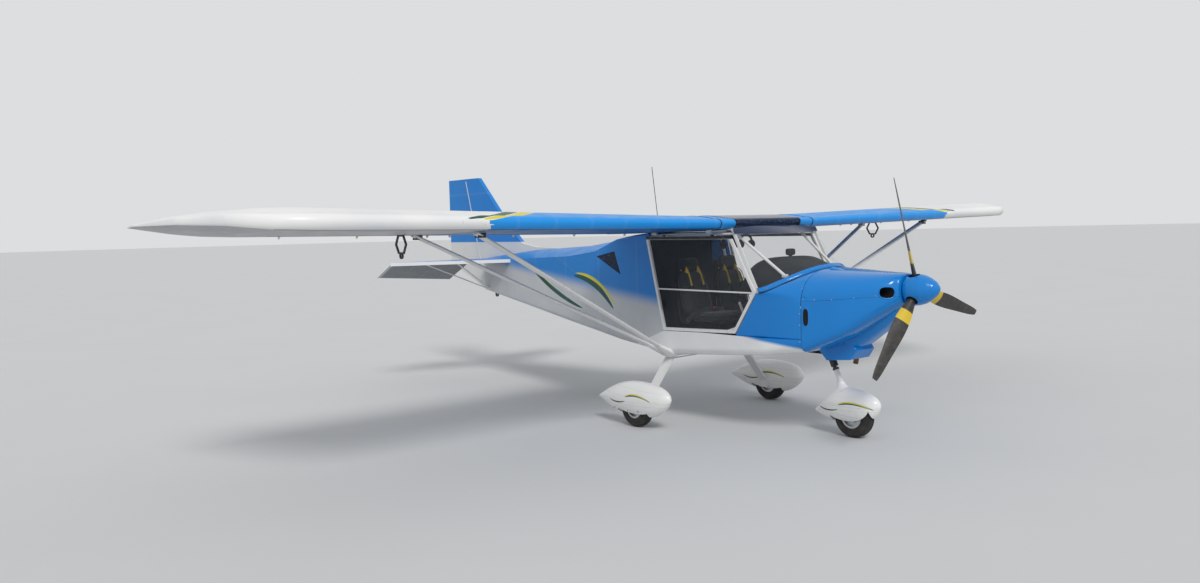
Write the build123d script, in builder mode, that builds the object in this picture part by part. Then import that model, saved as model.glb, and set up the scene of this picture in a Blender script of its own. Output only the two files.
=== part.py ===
"""High-wing two-seat ultralight aircraft, parked on its three wheels.

Millimetres. +Z up, the nose points along -Y, the port wing along +X. The origin is on the
ground, under the middle of the whole aircraft.
"""

from build123d import *
from math import cos, radians, sin, tan
import os

os.makedirs("parts", exist_ok=True)

# Clearances
seat_gap = 0.3
shaft_gap = 0.05
surface_gap = 7.0
panel_gap = 5.0
pin_r = 3.0

# Wing
wing_le_y = -1743.7
wing_le_z = 1757.0
wing_chord = 1420.0
wing_incidence = 3.7
wing_dihedral = 1.0
wing_root_x = 604.0
wing_straight_x = 4080.0
flap_inner_x = 640.0
flap_outer_x = 2560.0
aileron_outer_x = 3950.0
hinge_line = 0.79
flap_nose_r = 36.0
surface_te = 5.0

# Fuselage
firewall_ahead = 690.0
cabin_half = 550.0
cabin_wall = 22.0
skin_wall = 12.0
cowl_wall = 6.0
glass_wall = 4.0
tube_r = 13.0
sill_z = 800.0
stern_aft = 4240.0

# Windshield: its base plane and the plane of the pillars
shield_side_aft = -350.0
shield_side_z = 1182.0
shield_front_aft = -690.0
shield_front_z = 1362.0
pillar_foot_aft = -330.0
pillar_foot_z = 1170.0
pillar_head_aft = -55.0
pillar_head_z = 1690.0

# Doors
door_thick = 20.0
door_frame = 26.0
door_top_z = 1632.0

# Propeller
hub_ahead = 1411.0
hub_z = 1204.0
thrust_tilt = 3.9
blade_reach = 865.0
blade_count = 3
blade_turn = -14.2
spinner_r = 120.0
spinner_nose = 192.0
spinner_base = 52.0

# Landing gear
wheel_r = 168.0
wheel_wide = 100.0
rim_r = 92.0
rim_wide = 92.0
axle_r = 12.0
main_wheel_x = 890.0
main_wheel_aft = 748.0
nose_wheel_aft = -847.0
arch_gap = 18.0
steer_rake = 25.0
leg_wide = 95.0
leg_thick = 17.0

# Tail
tail_z = 1374.0
elevator_hinge_aft = 4200.0
elevator_droop = 27.0
tail_tip_x = 1360.0
rudder_foot_aft = 4420.0
rudder_foot_z = 1370.0
rudder_head_aft = 4700.0
rudder_head_z = 2345.0
rudder_te_aft = 5090.0
fin_head_long = 285.0
fin_post_long = 180.0
fin_thick = 50.0
tail_nose_r = 18.0

# Struts
strut_wide = 66.0
strut_thick = 32.0
strut_foot_inset = 2.0


def aft(distance):
    """Y of a point that lies this far behind the wing's leading edge."""
    return wing_le_y + distance


def save(piece, name):
    """Labels a finished piece and writes its file."""
    piece.label = name
    export_step(piece, f"parts/{name}.step")


def across(y):
    """Upright plane across the aircraft, its own x and y being X and Z."""
    return Plane.XZ.offset(-y)


def hull_section(distance, half, low, side, crown, low_r, side_r, inset=0.0):
    """Cross-section of the body: flat floor, upright sides, arched top, rounded corners."""
    h, z0, z1, z2 = half - inset, low + inset, side - inset * 0.4, crown - inset
    with BuildSketch(across(aft(distance))) as section:
        with BuildLine():
            Polyline((-h, z1), (-h, z0), (h, z0), (h, z1))
            ThreePointArc((h, z1), (0, z2), (-h, z1))
        make_face()
        corners = section.vertices().sort_by(Axis.Y)
        fillet(corners[:2], max(low_r - inset, 4.0))
        fillet(corners[2:], max(side_r - inset, 4.0))
    return section.sketch


def hull(rows, inset=0.0):
    """Sections of one body from its table."""
    return [hull_section(*row, inset=inset) for row in rows]


def tube(start, end, radius):
    """Round bar between two points."""
    axis = Vector(*end) - Vector(*start)
    with BuildPart() as bar:
        with BuildSketch(Plane(origin=start, z_dir=axis)):
            Circle(radius)
        extrude(amount=axis.length)
    return bar.part


def streamlined(start, end, wide, thick):
    """Bar of oval section between two points, its wide side along the flight."""
    axis = Vector(*end) - Vector(*start)
    flight = Vector(0, 1, 0)
    chordwise = flight - axis * (flight.dot(axis) / axis.dot(axis))
    with BuildPart() as bar:
        with BuildSketch(Plane(origin=start, x_dir=chordwise, z_dir=axis)):
            Ellipse(wide / 2, thick / 2)
        extrude(amount=axis.length)
    return bar.part


def half_space(point, normal, size=9000.0):
    """Block that fills everything on the normal's side of a plane."""
    with BuildPart() as block:
        with BuildSketch(Plane(origin=point, z_dir=normal)):
            Rectangle(size, size)
        extrude(amount=size)
    return block.part


def both_sides(piece):
    """A piece and its mirror image in the plane of symmetry."""
    return Compound(children=[piece, mirror(piece, about=Plane.YZ)])


# Body sections. Columns: distance behind the wing's leading edge, half width, floor, top of
# the side, top of the arch, lower corner radius, upper corner radius.
firewall_row = (-firewall_ahead, 468.0, 712.0, 1190.0, 1362.0, 90.0, 110.0)
shield_row = (shield_side_aft, cabin_half, 668.0, 1196.0, 1590.0, 70.0, 90.0)
gear_row = (700.0, cabin_half, 592.0, 1680.0, 1700.0, 60.0, 40.0)
wing_end_row = (1420.0, 492.0, 664.0, 1610.0, 1660.0, 60.0, 30.0)
nose_rows = [
    (-1340.0, 150.0, 1086.0, 1235.0, 1326.0, 70.0, 60.0),
    (-1240.0, 262.0, 1000.0, 1225.0, 1332.0, 100.0, 90.0),
    (-1000.0, 392.0, 838.0, 1200.0, 1342.0, 110.0, 110.0),
    firewall_row,
]
front_rows = [
    firewall_row,
    shield_row,
    (pillar_head_aft + 60.0, cabin_half, 640.0, 1750.0, 1785.0, 60.0, 40.0),
]
tub_rows = [firewall_row, shield_row, gear_row, wing_end_row]
rear_rows = [
    gear_row,
    wing_end_row,
    (1800.0, 438.0, 713.0, 1496.0, 1602.0, 55.0, 40.0),
    (2300.0, 368.0, 774.0, 1442.0, 1540.0, 50.0, 40.0),
    (3300.0, 228.0, 905.0, 1402.0, 1490.0, 40.0, 40.0),
    (stern_aft, 88.0, 1020.0, 1366.0, 1402.0, 30.0, 30.0),
]

shield_slope = (shield_front_z - shield_side_z) / (shield_side_aft - shield_front_aft)
shield_base_point = (0, aft(shield_side_aft), shield_side_z)
shield_base_up = (0, shield_slope, 1)
pillar_run = (pillar_head_aft - pillar_foot_aft) / (pillar_head_z - pillar_foot_z)
pillar_point = (0, aft(pillar_foot_aft), pillar_foot_z)
pillar_back = (0, 1, -pillar_run)

# The door's corners in side view: distance aft and height, from the top front corner round
door_corners = [
    (-42.0, door_top_z),
    (-305.0, 1172.0),
    (-82.0, 832.0),
    (762.0, 806.0),
    (962.0, door_top_z),
]


def side_plane(x):
    """Upright plane along the aircraft, its own x and y being Y and Z."""
    return Plane.YZ.offset(x)


def side_prism(points, inner, outer):
    """Prism between two x values from corners given as distance aft and height."""
    with BuildPart() as prism:
        with BuildSketch(side_plane(inner)):
            with BuildLine():
                Polyline(*[(aft(a), z) for a, z in points], close=True)
            make_face()
        extrude(amount=outer - inner)
    return prism.part


def door_prism(grow, inner, outer):
    """The door's outline, larger by a margin all round, between two x values."""
    with BuildPart() as prism:
        with BuildSketch(side_plane(inner)):
            with BuildLine():
                Polyline(*[(aft(a), z) for a, z in door_corners], close=True)
            make_face()
            if grow:
                offset(amount=grow, kind=Kind.INTERSECTION)
        extrude(amount=outer - inner)
    return prism.part


# Outer forms and hollows that several skins are cut from
with BuildPart() as front_form:
    loft(sections=hull(front_rows), ruled=True)
with BuildPart() as front_hollow:
    loft(sections=hull(front_rows, cabin_wall), ruled=True)
with BuildPart() as tub_form:
    loft(sections=hull(tub_rows), ruled=True)
with BuildPart() as tub_hollow:
    loft(sections=hull(tub_rows, cabin_wall), ruled=True)
with BuildPart() as rear_form:
    loft(sections=hull(rear_rows), ruled=True)
with BuildPart() as rear_hollow:
    loft(sections=hull(rear_rows, skin_wall), ruled=True)
with BuildPart() as cowl_form:
    loft(sections=hull(nose_rows), ruled=True)
with BuildPart() as cowl_hollow:
    loft(sections=hull(nose_rows, cowl_wall), ruled=True)

door_cut = door_prism(panel_gap, -cabin_half - 60.0, -cabin_half + 80.0)
door_cuts = [door_cut, mirror(door_cut, about=Plane.YZ)]

# Seam between the white tub and the skins above it, level to the door's rear corner and
# then falling to the belly
seam_slope = 0.37
seam_corner = door_corners[3]
tub_seam = [
    half_space((0, 0, sill_z + 15.0), (0, 0, 1)),
    half_space((0, aft(seam_corner[0]), sill_z), (0, seam_slope, 1)),
]

# Belly tub
with BuildPart() as belly_tub:
    add(tub_form.part)
    add(tub_hollow.part, mode=Mode.SUBTRACT)
    for block in tub_seam + door_cuts:
        add(block, mode=Mode.SUBTRACT)

# Skin between the firewall and the doors, below the windshield's base
base_above = half_space(shield_base_point, shield_base_up)
with BuildPart() as front_skin:
    add(front_form.part)
    add(front_hollow.part, mode=Mode.SUBTRACT)
    add(base_above, mode=Mode.SUBTRACT)
    add(half_space((0, 0, sill_z + 15.0), (0, 0, -1)), mode=Mode.SUBTRACT)
    for block in door_cuts:
        add(block, mode=Mode.SUBTRACT)
save(front_skin.part, "front_skin")

# Windshield: the part of the same form above its base and ahead of the pillars
with BuildPart() as windshield:
    loft(sections=hull(front_rows), ruled=True)
    loft(sections=hull(front_rows, glass_wall), ruled=True, mode=Mode.SUBTRACT)
    add(half_space(shield_base_point, [-c for c in shield_base_up]), mode=Mode.SUBTRACT)
    add(half_space(pillar_point, pillar_back), mode=Mode.SUBTRACT)
save(windshield.part, "windshield")

# Rear fuselage: fabric skin with the side windows cut out, open under the wing
post_run = (door_corners[4][0] - door_corners[3][0]) / (door_corners[4][1] - door_corners[3][1])
post_point = (0, aft(door_corners[3][0] - door_frame), door_corners[3][1])
window_corners = [(1370.0, 1285.0), (1778.0, 1448.0), (1462.0, 1500.0)]
wing_under_z = 1661.0
with BuildPart() as window_cut:
    add(side_prism(window_corners, -cabin_half - 60.0, cabin_half + 60.0))
with BuildPart() as rear_skin:
    add(rear_form.part)
    add(rear_hollow.part, mode=Mode.SUBTRACT)
    add(window_cut.part, mode=Mode.SUBTRACT)
    add(half_space(post_point, (0, -1, post_run)), mode=Mode.SUBTRACT)
    add(half_space((0, aft(seam_corner[0]), sill_z), (0, -seam_slope, -1)), mode=Mode.SUBTRACT)
    add(half_space((0, 0, wing_under_z), (0, 0, 1)), mode=Mode.SUBTRACT)
    for block in door_cuts:
        add(block, mode=Mode.SUBTRACT)

with BuildPart() as side_windows:
    loft(sections=hull(rear_rows, skin_wall / 2 - glass_wall / 2), ruled=True)
    loft(sections=hull(rear_rows, skin_wall / 2 + glass_wall / 2), ruled=True, mode=Mode.SUBTRACT)
    add(window_cut.part, mode=Mode.INTERSECT)
save(side_windows.part, "side_windows")

# Firewall
with BuildPart() as firewall:
    add(front_hollow.part)
    add(half_space((0, aft(cowl_wall - firewall_ahead), 0), (0, 1, 0)), mode=Mode.SUBTRACT)
save(firewall.part, "firewall")

# Cowling in two halves, with cooling inlets beside the spinner
cowl_split_z = 1122.0
inlet_x = 206.0
inlet_z = 1194.0
inlet_wide = 82.0
inlet_high = 56.0
with BuildPart() as cowl_shell:
    add(cowl_form.part)
    add(cowl_hollow.part, mode=Mode.SUBTRACT)
    with BuildSketch(across(aft(-1100.0))):
        with Locations((-inlet_x, inlet_z), (inlet_x, inlet_z)):
            SlotOverall(inlet_wide, inlet_high)
    extrude(amount=400.0, mode=Mode.SUBTRACT)
with BuildPart() as upper_cowling:
    add(cowl_shell.part)
    add(half_space((0, 0, cowl_split_z), (0, 0, -1)), mode=Mode.SUBTRACT)
save(upper_cowling.part, "upper_cowling")
with BuildPart() as lower_cowling:
    add(cowl_shell.part)
    add(half_space((0, 0, cowl_split_z), (0, 0, 1)), mode=Mode.SUBTRACT)

# Radiator outlet under the firewall
outlet_half = 150.0
with BuildPart() as outlet_box:
    with BuildSketch(side_plane(-outlet_half)):
        with BuildLine():
            Polyline(
                (aft(-660.0), 614.0),
                (aft(-570.0), 690.0),
                (aft(-570.0), 780.0),
                (aft(-860.0), 800.0),
                (aft(-965.0), 716.0),
                (aft(-905.0), 636.0),
                close=True,
            )
        make_face()
    extrude(amount=2 * outlet_half)
    add(tub_form.part, mode=Mode.SUBTRACT)
    add(cowl_form.part, mode=Mode.SUBTRACT)

# Thrust line
prop_plane = Plane(
    origin=(0, aft(-hub_ahead), hub_z),
    x_dir=(1, 0, 0),
    z_dir=(0, -cos(radians(thrust_tilt)), sin(radians(thrust_tilt))),
)
spin_plane = Plane(origin=prop_plane.origin, x_dir=(1, 0, 0), z_dir=-prop_plane.y_dir)
spin_axis = Axis(origin=prop_plane.origin, direction=prop_plane.z_dir)
shaft_back = spinner_base + 40.0

# Engine, one plain block on the firewall, with the gearbox ahead of it
engine_half = 215.0
engine_front = 1100.0
with BuildPart() as engine_block:
    with BuildSketch(side_plane(-engine_half)):
        with Locations((aft(-(engine_front + firewall_ahead) / 2), 1110.0)):
            Rectangle(engine_front - firewall_ahead, 280.0)
    extrude(amount=2 * engine_half)
    with BuildSketch(across(aft(-engine_front))):
        with Locations((0, hub_z - 14.0)):
            Rectangle(150.0, 170.0)
    extrude(amount=180.0)
    with BuildSketch(prop_plane.offset(-shaft_back - seat_gap)):
        Circle(52.0)
    extrude(amount=-80.0)
    chamfer(engine_block.edges().filter_by(Axis.Y).sort_by(Axis.Z)[:2], 60.0)
save(engine_block.part, "engine_block")

# Wing
slope_y, slope_z = cos(radians(wing_incidence)), -sin(radians(wing_incidence))
span_rise = tan(radians(wing_dihedral))
hinge_x = hinge_line * wing_chord
hinge_up = 14.0


def wing_plane(x, back=0.0, up=0.0):
    """Upright plane of one rib, x along the chord and y upwards."""
    z = wing_le_z + max(x - wing_root_x, 0.0) * span_rise
    start = Vector(x, wing_le_y, z) + Vector(0, slope_y, slope_z) * back
    return Plane(origin=start + Vector(0, 0, up), x_dir=(0, slope_y, slope_z), z_dir=(1, 0, 0))


def rib(plane, chord, thick=1.0):
    """Wing section of a given chord, its nose at the plane's origin."""
    t = chord * thick
    with BuildSketch(plane) as outline:
        with BuildLine():
            ThreePointArc((0.05 * chord, -0.026 * t), (0, 0), (0.05 * chord, 0.054 * t))
            ThreePointArc((0.05 * chord, 0.054 * t), (0.15 * chord, 0.08 * t), (0.3 * chord, 0.087 * t))
            ThreePointArc((0.3 * chord, 0.087 * t), (0.65 * chord, 0.057 * t), (chord, surface_te / 2))
            Line((chord, surface_te / 2), (chord, -surface_te / 2))
            Line((chord, -surface_te / 2), (0.45 * chord, -0.031 * t))
            ThreePointArc((0.45 * chord, -0.031 * t), (0.22 * chord, -0.034 * t), (0.05 * chord, -0.026 * t))
        make_face()
    return outline.sketch


def rib_front(plane):
    """Wing section ahead of the cove that a control surface turns in."""
    with BuildSketch(plane) as outline:
        add(rib(Plane.XY, wing_chord))
        with Locations((hinge_x + wing_chord / 2, 0)):
            Rectangle(wing_chord, wing_chord, mode=Mode.SUBTRACT)
        with Locations((hinge_x, hinge_up)):
            Circle(flap_nose_r + surface_gap, mode=Mode.SUBTRACT)
    return outline.sketch


def rib_surface(plane):
    """Section of a control surface: a round nose and the wing's own tail."""
    with BuildSketch(plane) as outline:
        add(rib(Plane.XY, wing_chord))
        with Locations((hinge_x - wing_chord / 2, 0)):
            Rectangle(wing_chord, wing_chord, mode=Mode.SUBTRACT)
        with Locations((hinge_x, hinge_up)):
            Circle(flap_nose_r)
    return outline.sketch


def spanwise(section, start, end):
    """Carries a section along the wing between two x values."""
    direction = Vector(1, 0, span_rise)
    return extrude(section(wing_plane(start)), amount=(end - start) * direction.length, dir=direction)


def whole_rib(plane):
    """Wing section at full chord."""
    return rib(plane, wing_chord)


def hinge_pin(radius, start, end):
    """Round bar on the hinge line of the flap and aileron between two x values."""

    def disc(plane):
        with BuildSketch(plane) as outline:
            with Locations((hinge_x, hinge_up)):
                Circle(radius)
        return outline.sketch

    return spanwise(disc, start, end)


# Tip sections. Columns: x, how far the nose has moved back, share of the thickness, rise.
tip_rows = [
    (wing_straight_x, 0.0, 1.0, 0.0),
    (4290.0, 130.0, 1.0, 6.0),
    (4490.0, 380.0, 0.95, 12.0),
    (4650.0, 790.0, 0.8, 18.0),
    (4755.0, 1290.0, 0.8, 20.0),
]
wing_pin_r = 6.0
pin_deep = 40.0
with BuildPart() as port_wing:
    add(hinge_pin(wing_pin_r, flap_inner_x - surface_gap, flap_inner_x + pin_deep))
    add(hinge_pin(wing_pin_r, aileron_outer_x - pin_deep, aileron_outer_x + surface_gap))
    add(spanwise(whole_rib, wing_root_x, flap_inner_x - surface_gap))
    add(spanwise(rib_front, flap_inner_x - surface_gap, aileron_outer_x + surface_gap))
    add(spanwise(whole_rib, aileron_outer_x + surface_gap, wing_straight_x))
    loft(
        sections=[rib(wing_plane(x, back, up), wing_chord - back, thick) for x, back, thick, up in tip_rows],
        ruled=True,
    )
save(port_wing.part, "port_wing")
save(mirror(port_wing.part, about=Plane.YZ), "starboard_wing")

bore_r = wing_pin_r + shaft_gap
with BuildPart() as port_flap:
    add(spanwise(rib_surface, flap_inner_x, flap_outer_x))
    add(hinge_pin(bore_r, flap_inner_x - seat_gap, flap_inner_x + pin_deep + seat_gap), mode=Mode.SUBTRACT)
save(port_flap.part, "port_flap")
save(mirror(port_flap.part, about=Plane.YZ), "starboard_flap")
with BuildPart() as port_aileron:
    add(spanwise(rib_surface, flap_outer_x + surface_gap, aileron_outer_x))
    add(
        hinge_pin(bore_r, aileron_outer_x - pin_deep - seat_gap, aileron_outer_x + seat_gap),
        mode=Mode.SUBTRACT,
    )
save(port_aileron.part, "port_aileron")
save(mirror(port_aileron.part, about=Plane.YZ), "starboard_aileron")

# Wing centre: fairings beside the roof window and the panel behind it
roof_half = 418.0
roof_front_aft = 26.0
roof_rear_aft = 880.0
with BuildPart() as wing_centre:
    add(rib(wing_plane(-wing_root_x + seat_gap), wing_chord))
    extrude(amount=2 * (wing_root_x - seat_gap), dir=(1, 0, 0))
    with BuildSketch(Plane.XY.offset(1500.0)):
        with Locations((0, aft(roof_rear_aft / 2 - 100.0))):
            Rectangle(2 * roof_half, roof_rear_aft + 200.0)
    extrude(amount=500.0, mode=Mode.SUBTRACT)
save(wing_centre.part, "wing_centre")

with BuildPart() as roof_window:
    add(rib(wing_plane(-roof_half + seat_gap), wing_chord))
    extrude(amount=2 * (roof_half - seat_gap), dir=(1, 0, 0))
    with BuildSketch(wing_plane(-roof_half)):
        with Locations((0, -glass_wall)):
            add(rib(Plane.XY, wing_chord))
        with Locations((wing_chord / 2, -wing_chord / 2 + 20.0)):
            Rectangle(wing_chord * 1.2, wing_chord)
    extrude(amount=2 * roof_half, dir=(1, 0, 0), mode=Mode.SUBTRACT)
    add(half_space((0, aft(roof_front_aft), 0), (0, -1, 0)), mode=Mode.SUBTRACT)
    add(half_space((0, aft(roof_rear_aft), 0), (0, 1, 0)), mode=Mode.SUBTRACT)
save(roof_window.part, "roof_window")

# Wing struts, their root fairings and the brackets at the top of the rear ones
strut_foot = (cabin_half - strut_foot_inset, aft(722.0), 622.0)
front_strut_top = (2840.0, aft(238.0), 1716.0)
rear_strut_foot = (cabin_half - strut_foot_inset, aft(800.0), 626.0)
rear_strut_top = (2880.0, aft(1020.0), 1706.0)
with BuildPart() as wing_block:
    add(port_wing.part)
with BuildPart() as port_front_strut:
    add(streamlined(strut_foot, front_strut_top, strut_wide, strut_thick))
    add(wing_block.part, mode=Mode.SUBTRACT)
    add(tub_form.part, mode=Mode.SUBTRACT)
with BuildPart() as port_rear_strut:
    add(streamlined(rear_strut_foot, rear_strut_top, strut_wide * 0.86, strut_thick * 0.9))
    add(wing_block.part, mode=Mode.SUBTRACT)
    add(tub_form.part, mode=Mode.SUBTRACT)
    add(port_front_strut.part, mode=Mode.SUBTRACT)
save(both_sides(port_front_strut.part), "front_struts")
save(both_sides(port_rear_strut.part), "rear_struts")

# Tail: fin with its fillet, rudder, stabilizer and elevator
rudder_run = (rudder_head_aft - rudder_foot_aft) / (rudder_head_z - rudder_foot_z)
rudder_low_z = 1034.0


def rudder_hinge_aft(z):
    """Where the leaning rudder hinge stands at a height."""
    return rudder_foot_aft + (z - rudder_foot_z) * rudder_run


fin_outline = [
    (2860.0, 1470.0),
    (2860.0, 1508.0),
    (3290.0, 1522.0),
    (3560.0, 1566.0),
    (3990.0, 1926.0),
    (rudder_head_aft - fin_head_long, rudder_head_z),
    (rudder_hinge_aft(rudder_head_z), rudder_head_z),
    (rudder_hinge_aft(rudder_low_z), rudder_low_z),
    (rudder_hinge_aft(rudder_low_z) - fin_post_long, rudder_low_z),
    (rudder_hinge_aft(1366.0) - fin_post_long, 1366.0),
    (3560.0, 1370.0),
]
rudder_axis = Plane(
    origin=(0, aft(rudder_hinge_aft(900.0)), 900.0), x_dir=(1, 0, 0), z_dir=(0, rudder_run, 1)
)
with BuildPart() as fin_form:
    add(side_prism(fin_outline, -fin_thick / 2, fin_thick / 2))
    with BuildSketch(rudder_axis):
        Circle(tail_nose_r + surface_gap)
        with Locations((0, 200.0)):
            Rectangle(200.0, 400.0)
    extrude(amount=2000.0, mode=Mode.SUBTRACT)
    add(rear_form.part, mode=Mode.SUBTRACT)


def tail_outline(plane, hinge, back):
    """Section of a tail surface behind its hinge: a round nose and a thin rear edge."""
    with BuildSketch(plane) as outline:
        with BuildLine():
            ThreePointArc((tail_nose_r, hinge), (0, hinge - tail_nose_r), (-tail_nose_r, hinge))
            Polyline((-tail_nose_r, hinge), (-surface_te, back), (surface_te, back), (tail_nose_r, hinge))
        make_face()
    return outline.sketch


def rudder_station(z):
    """Plane square to the rudder hinge at a height."""
    return Plane(origin=(0, aft(rudder_hinge_aft(z)), z), x_dir=(1, 0, 0), z_dir=rudder_axis.z_dir)


rudder_te_z = 1320.0
rudder_hinges = (1180.0, 2140.0)
lug_thick = 8.0
with BuildPart() as rudder:
    loft(
        sections=[
            tail_outline(Plane.XY.offset(z), aft(rudder_hinge_aft(z)), aft(rudder_te_aft))
            for z in (rudder_low_z, rudder_head_z)
        ],
        ruled=True,
    )
    foot_back = (0, aft(rudder_te_aft), rudder_te_z)
    foot_rise = (rudder_te_z - rudder_low_z) / (rudder_te_aft - rudder_hinge_aft(rudder_low_z))
    add(half_space(foot_back, (0, foot_rise, -1)), mode=Mode.SUBTRACT)
    for z in rudder_hinges:
        with BuildSketch(rudder_station(z).offset(-seat_gap)):
            Circle(tail_nose_r + surface_gap)
            Circle(pin_r, mode=Mode.SUBTRACT)
        extrude(amount=lug_thick + 2 * seat_gap, mode=Mode.SUBTRACT)
save(rudder.part, "rudder")

tail_root_x = 70.0
tail_root_le = 3510.0
tail_tip_le = 4165.0
torque_r = 11.0
elevator_inner_x = 330.0
elevator_root_chord = 485.0
elevator_tip_chord = 327.0
with BuildPart() as port_stabilizer:
    with BuildSketch(Plane.XY.offset(tail_z - tail_nose_r)):
        with BuildLine():
            Polyline(
                (tail_root_x, aft(tail_root_le)),
                (tail_tip_x, aft(tail_tip_le)),
                (tail_tip_x, aft(elevator_hinge_aft)),
                (tail_root_x, aft(elevator_hinge_aft)),
                close=True,
            )
        make_face()
    extrude(amount=2 * tail_nose_r)
    fillet(port_stabilizer.edges().filter_by(GeomType.LINE).group_by(Axis.Y)[0], 8.0)
    with BuildSketch(side_plane(0.0)):
        with Locations((aft(elevator_hinge_aft), tail_z)):
            Circle(tail_nose_r + surface_gap)
    extrude(amount=2 * tail_tip_x, mode=Mode.SUBTRACT)
    add(rear_form.part, mode=Mode.SUBTRACT)
    add(fin_form.part, mode=Mode.SUBTRACT)
save(both_sides(port_stabilizer.part), "stabilizer")

elevator_line = Plane(
    origin=(0, aft(elevator_hinge_aft), tail_z),
    x_dir=(0, cos(radians(elevator_droop)), -sin(radians(elevator_droop))),
    z_dir=(1, 0, 0),
)


def elevator_rib(x, chord):
    """Section of the elevator in its drooped rest position."""
    with BuildSketch(elevator_line.offset(x)) as outline:
        with BuildLine():
            ThreePointArc((0, -tail_nose_r), (-tail_nose_r, 0), (0, tail_nose_r))
            Polyline((0, tail_nose_r), (chord, surface_te), (chord, -surface_te), (0, -tail_nose_r))
        make_face()
    return outline.sketch


with BuildPart() as port_elevator:
    loft(
        sections=[
            elevator_rib(elevator_inner_x, elevator_root_chord),
            elevator_rib(tail_tip_x, elevator_tip_chord),
        ],
        ruled=True,
    )
with BuildPart() as elevator:
    add(port_elevator.part)
    mirror(about=Plane.YZ)
    with BuildSketch(elevator_line.offset(-elevator_inner_x - 5.0)):
        Circle(torque_r)
    extrude(amount=2 * elevator_inner_x + 10.0)
save(elevator.part, "elevator")

# The tube between the elevator halves turns in the stern
with BuildPart() as torque_tunnel:
    with BuildSketch(side_plane(-elevator_inner_x)):
        with Locations((aft(elevator_hinge_aft), tail_z)):
            Circle(torque_r + shaft_gap)
    extrude(amount=2 * elevator_inner_x)
with BuildPart() as rear_fuselage:
    add(rear_skin.part)
    add(torque_tunnel.part, mode=Mode.SUBTRACT)
save(rear_fuselage.part, "rear_fuselage")
with BuildPart() as fin:
    add(fin_form.part)
    for z in rudder_hinges:
        with BuildSketch(rudder_station(z)):
            Circle(3 * pin_r)
            with Locations((0, -20.0)):
                Rectangle(6 * pin_r, 40.0)
            Circle(pin_r + shaft_gap, mode=Mode.SUBTRACT)
        extrude(amount=lug_thick)
    add(torque_tunnel.part, mode=Mode.SUBTRACT)
save(fin.part, "fin")

tail_strut_foot = (74.0, aft(4190.0), 1032.0)
tail_strut_tops = [(660.0, aft(3930.0), tail_z - 12.0), (960.0, aft(4110.0), tail_z - 12.0)]
with BuildPart() as port_tail_struts:
    for k, top in enumerate(tail_strut_tops):
        foot = (tail_strut_foot[0], tail_strut_foot[1] - 34.0 * (1 - k), tail_strut_foot[2])
        add(streamlined(foot, top, 30.0, 14.0))
    add(port_stabilizer.part, mode=Mode.SUBTRACT)
    add(rear_form.part, mode=Mode.SUBTRACT)
save(both_sides(port_tail_struts.part), "tail_struts")

# Propeller and spinner
hub_r = 62.0
shaft_r = 38.0
hub_half = 36.0
shank_r = 30.0
spinner_skin = 4.0


# Spinner outline. Columns: share of the radius, distance ahead of the hub as a share of the nose
spinner_rows = [(1.0, -0.1), (0.985, 0.12), (0.9, 0.36), (0.72, 0.6), (0.46, 0.82), (0.2, 0.95)]


def spinner_form(inset):
    """Pointed round body about the thrust axis."""
    r, nose = spinner_r - inset, spinner_nose - inset * 1.4
    side = [(r * share, nose * ahead) for share, ahead in spinner_rows]
    with BuildPart() as form:
        with BuildSketch(spin_plane):
            with BuildLine():
                base = inset - spinner_base
                Polyline((0, base), (r - 6.0, base), *side, (0, nose), close=True)
            make_face()
        revolve(axis=spin_axis)
    return form.part


# Blade stations. Columns: radius, chord, pitch in degrees, thickness
blade_rows = [
    (40.0, 58.0, 46.0, 40.0),
    (150.0, 76.0, 38.0, 30.0),
    (300.0, 114.0, 37.0, 18.0),
    (560.0, 98.0, 32.0, 11.0),
    (760.0, 70.0, 28.0, 8.0),
    (blade_reach, 40.0, 26.0, 5.0),
]


def blade(angle):
    """One blade, its angle measured from straight up towards port."""
    out = prop_plane.y_dir * cos(radians(angle)) + prop_plane.x_dir * sin(radians(angle))
    swing = prop_plane.z_dir.cross(out)
    ribs = []
    for radius, chord, pitch, thick in blade_rows:
        lead = swing * cos(radians(pitch)) + prop_plane.z_dir * sin(radians(pitch))
        with BuildSketch(Plane(origin=prop_plane.origin + out * radius, x_dir=lead, z_dir=out)) as outline:
            with BuildLine():
                ThreePointArc((-chord / 2, 0), (0.08 * chord, thick * 0.6), (chord / 2, 0))
                ThreePointArc((chord / 2, 0), (0.08 * chord, -thick * 0.4), (-chord / 2, 0))
            make_face()
        ribs.append(outline.sketch)
    with BuildPart() as one:
        loft(sections=ribs)
    return one.part


with BuildPart() as propeller:
    with BuildSketch(prop_plane.offset(-hub_half)):
        Circle(hub_r)
    extrude(amount=2 * hub_half)
    with BuildSketch(prop_plane.offset(-shaft_back)):
        Circle(shaft_r)
    extrude(amount=shaft_back)
    for k in range(blade_count):
        add(blade(blade_turn + 360.0 / blade_count * k))
save(propeller.part, "propeller")
with BuildPart() as spinner:
    add(spinner_form(0.0))
    add(spinner_form(spinner_skin), mode=Mode.SUBTRACT)
    with BuildSketch(prop_plane.offset(-spinner_base - 5.0)):
        Circle(shaft_r)
    extrude(amount=20.0, mode=Mode.SUBTRACT)
    for k in range(blade_count):
        turn = radians(blade_turn + 360.0 / blade_count * k)
        out = prop_plane.y_dir * cos(turn) + prop_plane.x_dir * sin(turn)
        with BuildSketch(Plane(origin=prop_plane.origin, z_dir=out)):
            Circle(shank_r + 16.0)
        extrude(amount=2 * spinner_r, mode=Mode.SUBTRACT)
save(spinner.part, "spinner")

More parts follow.
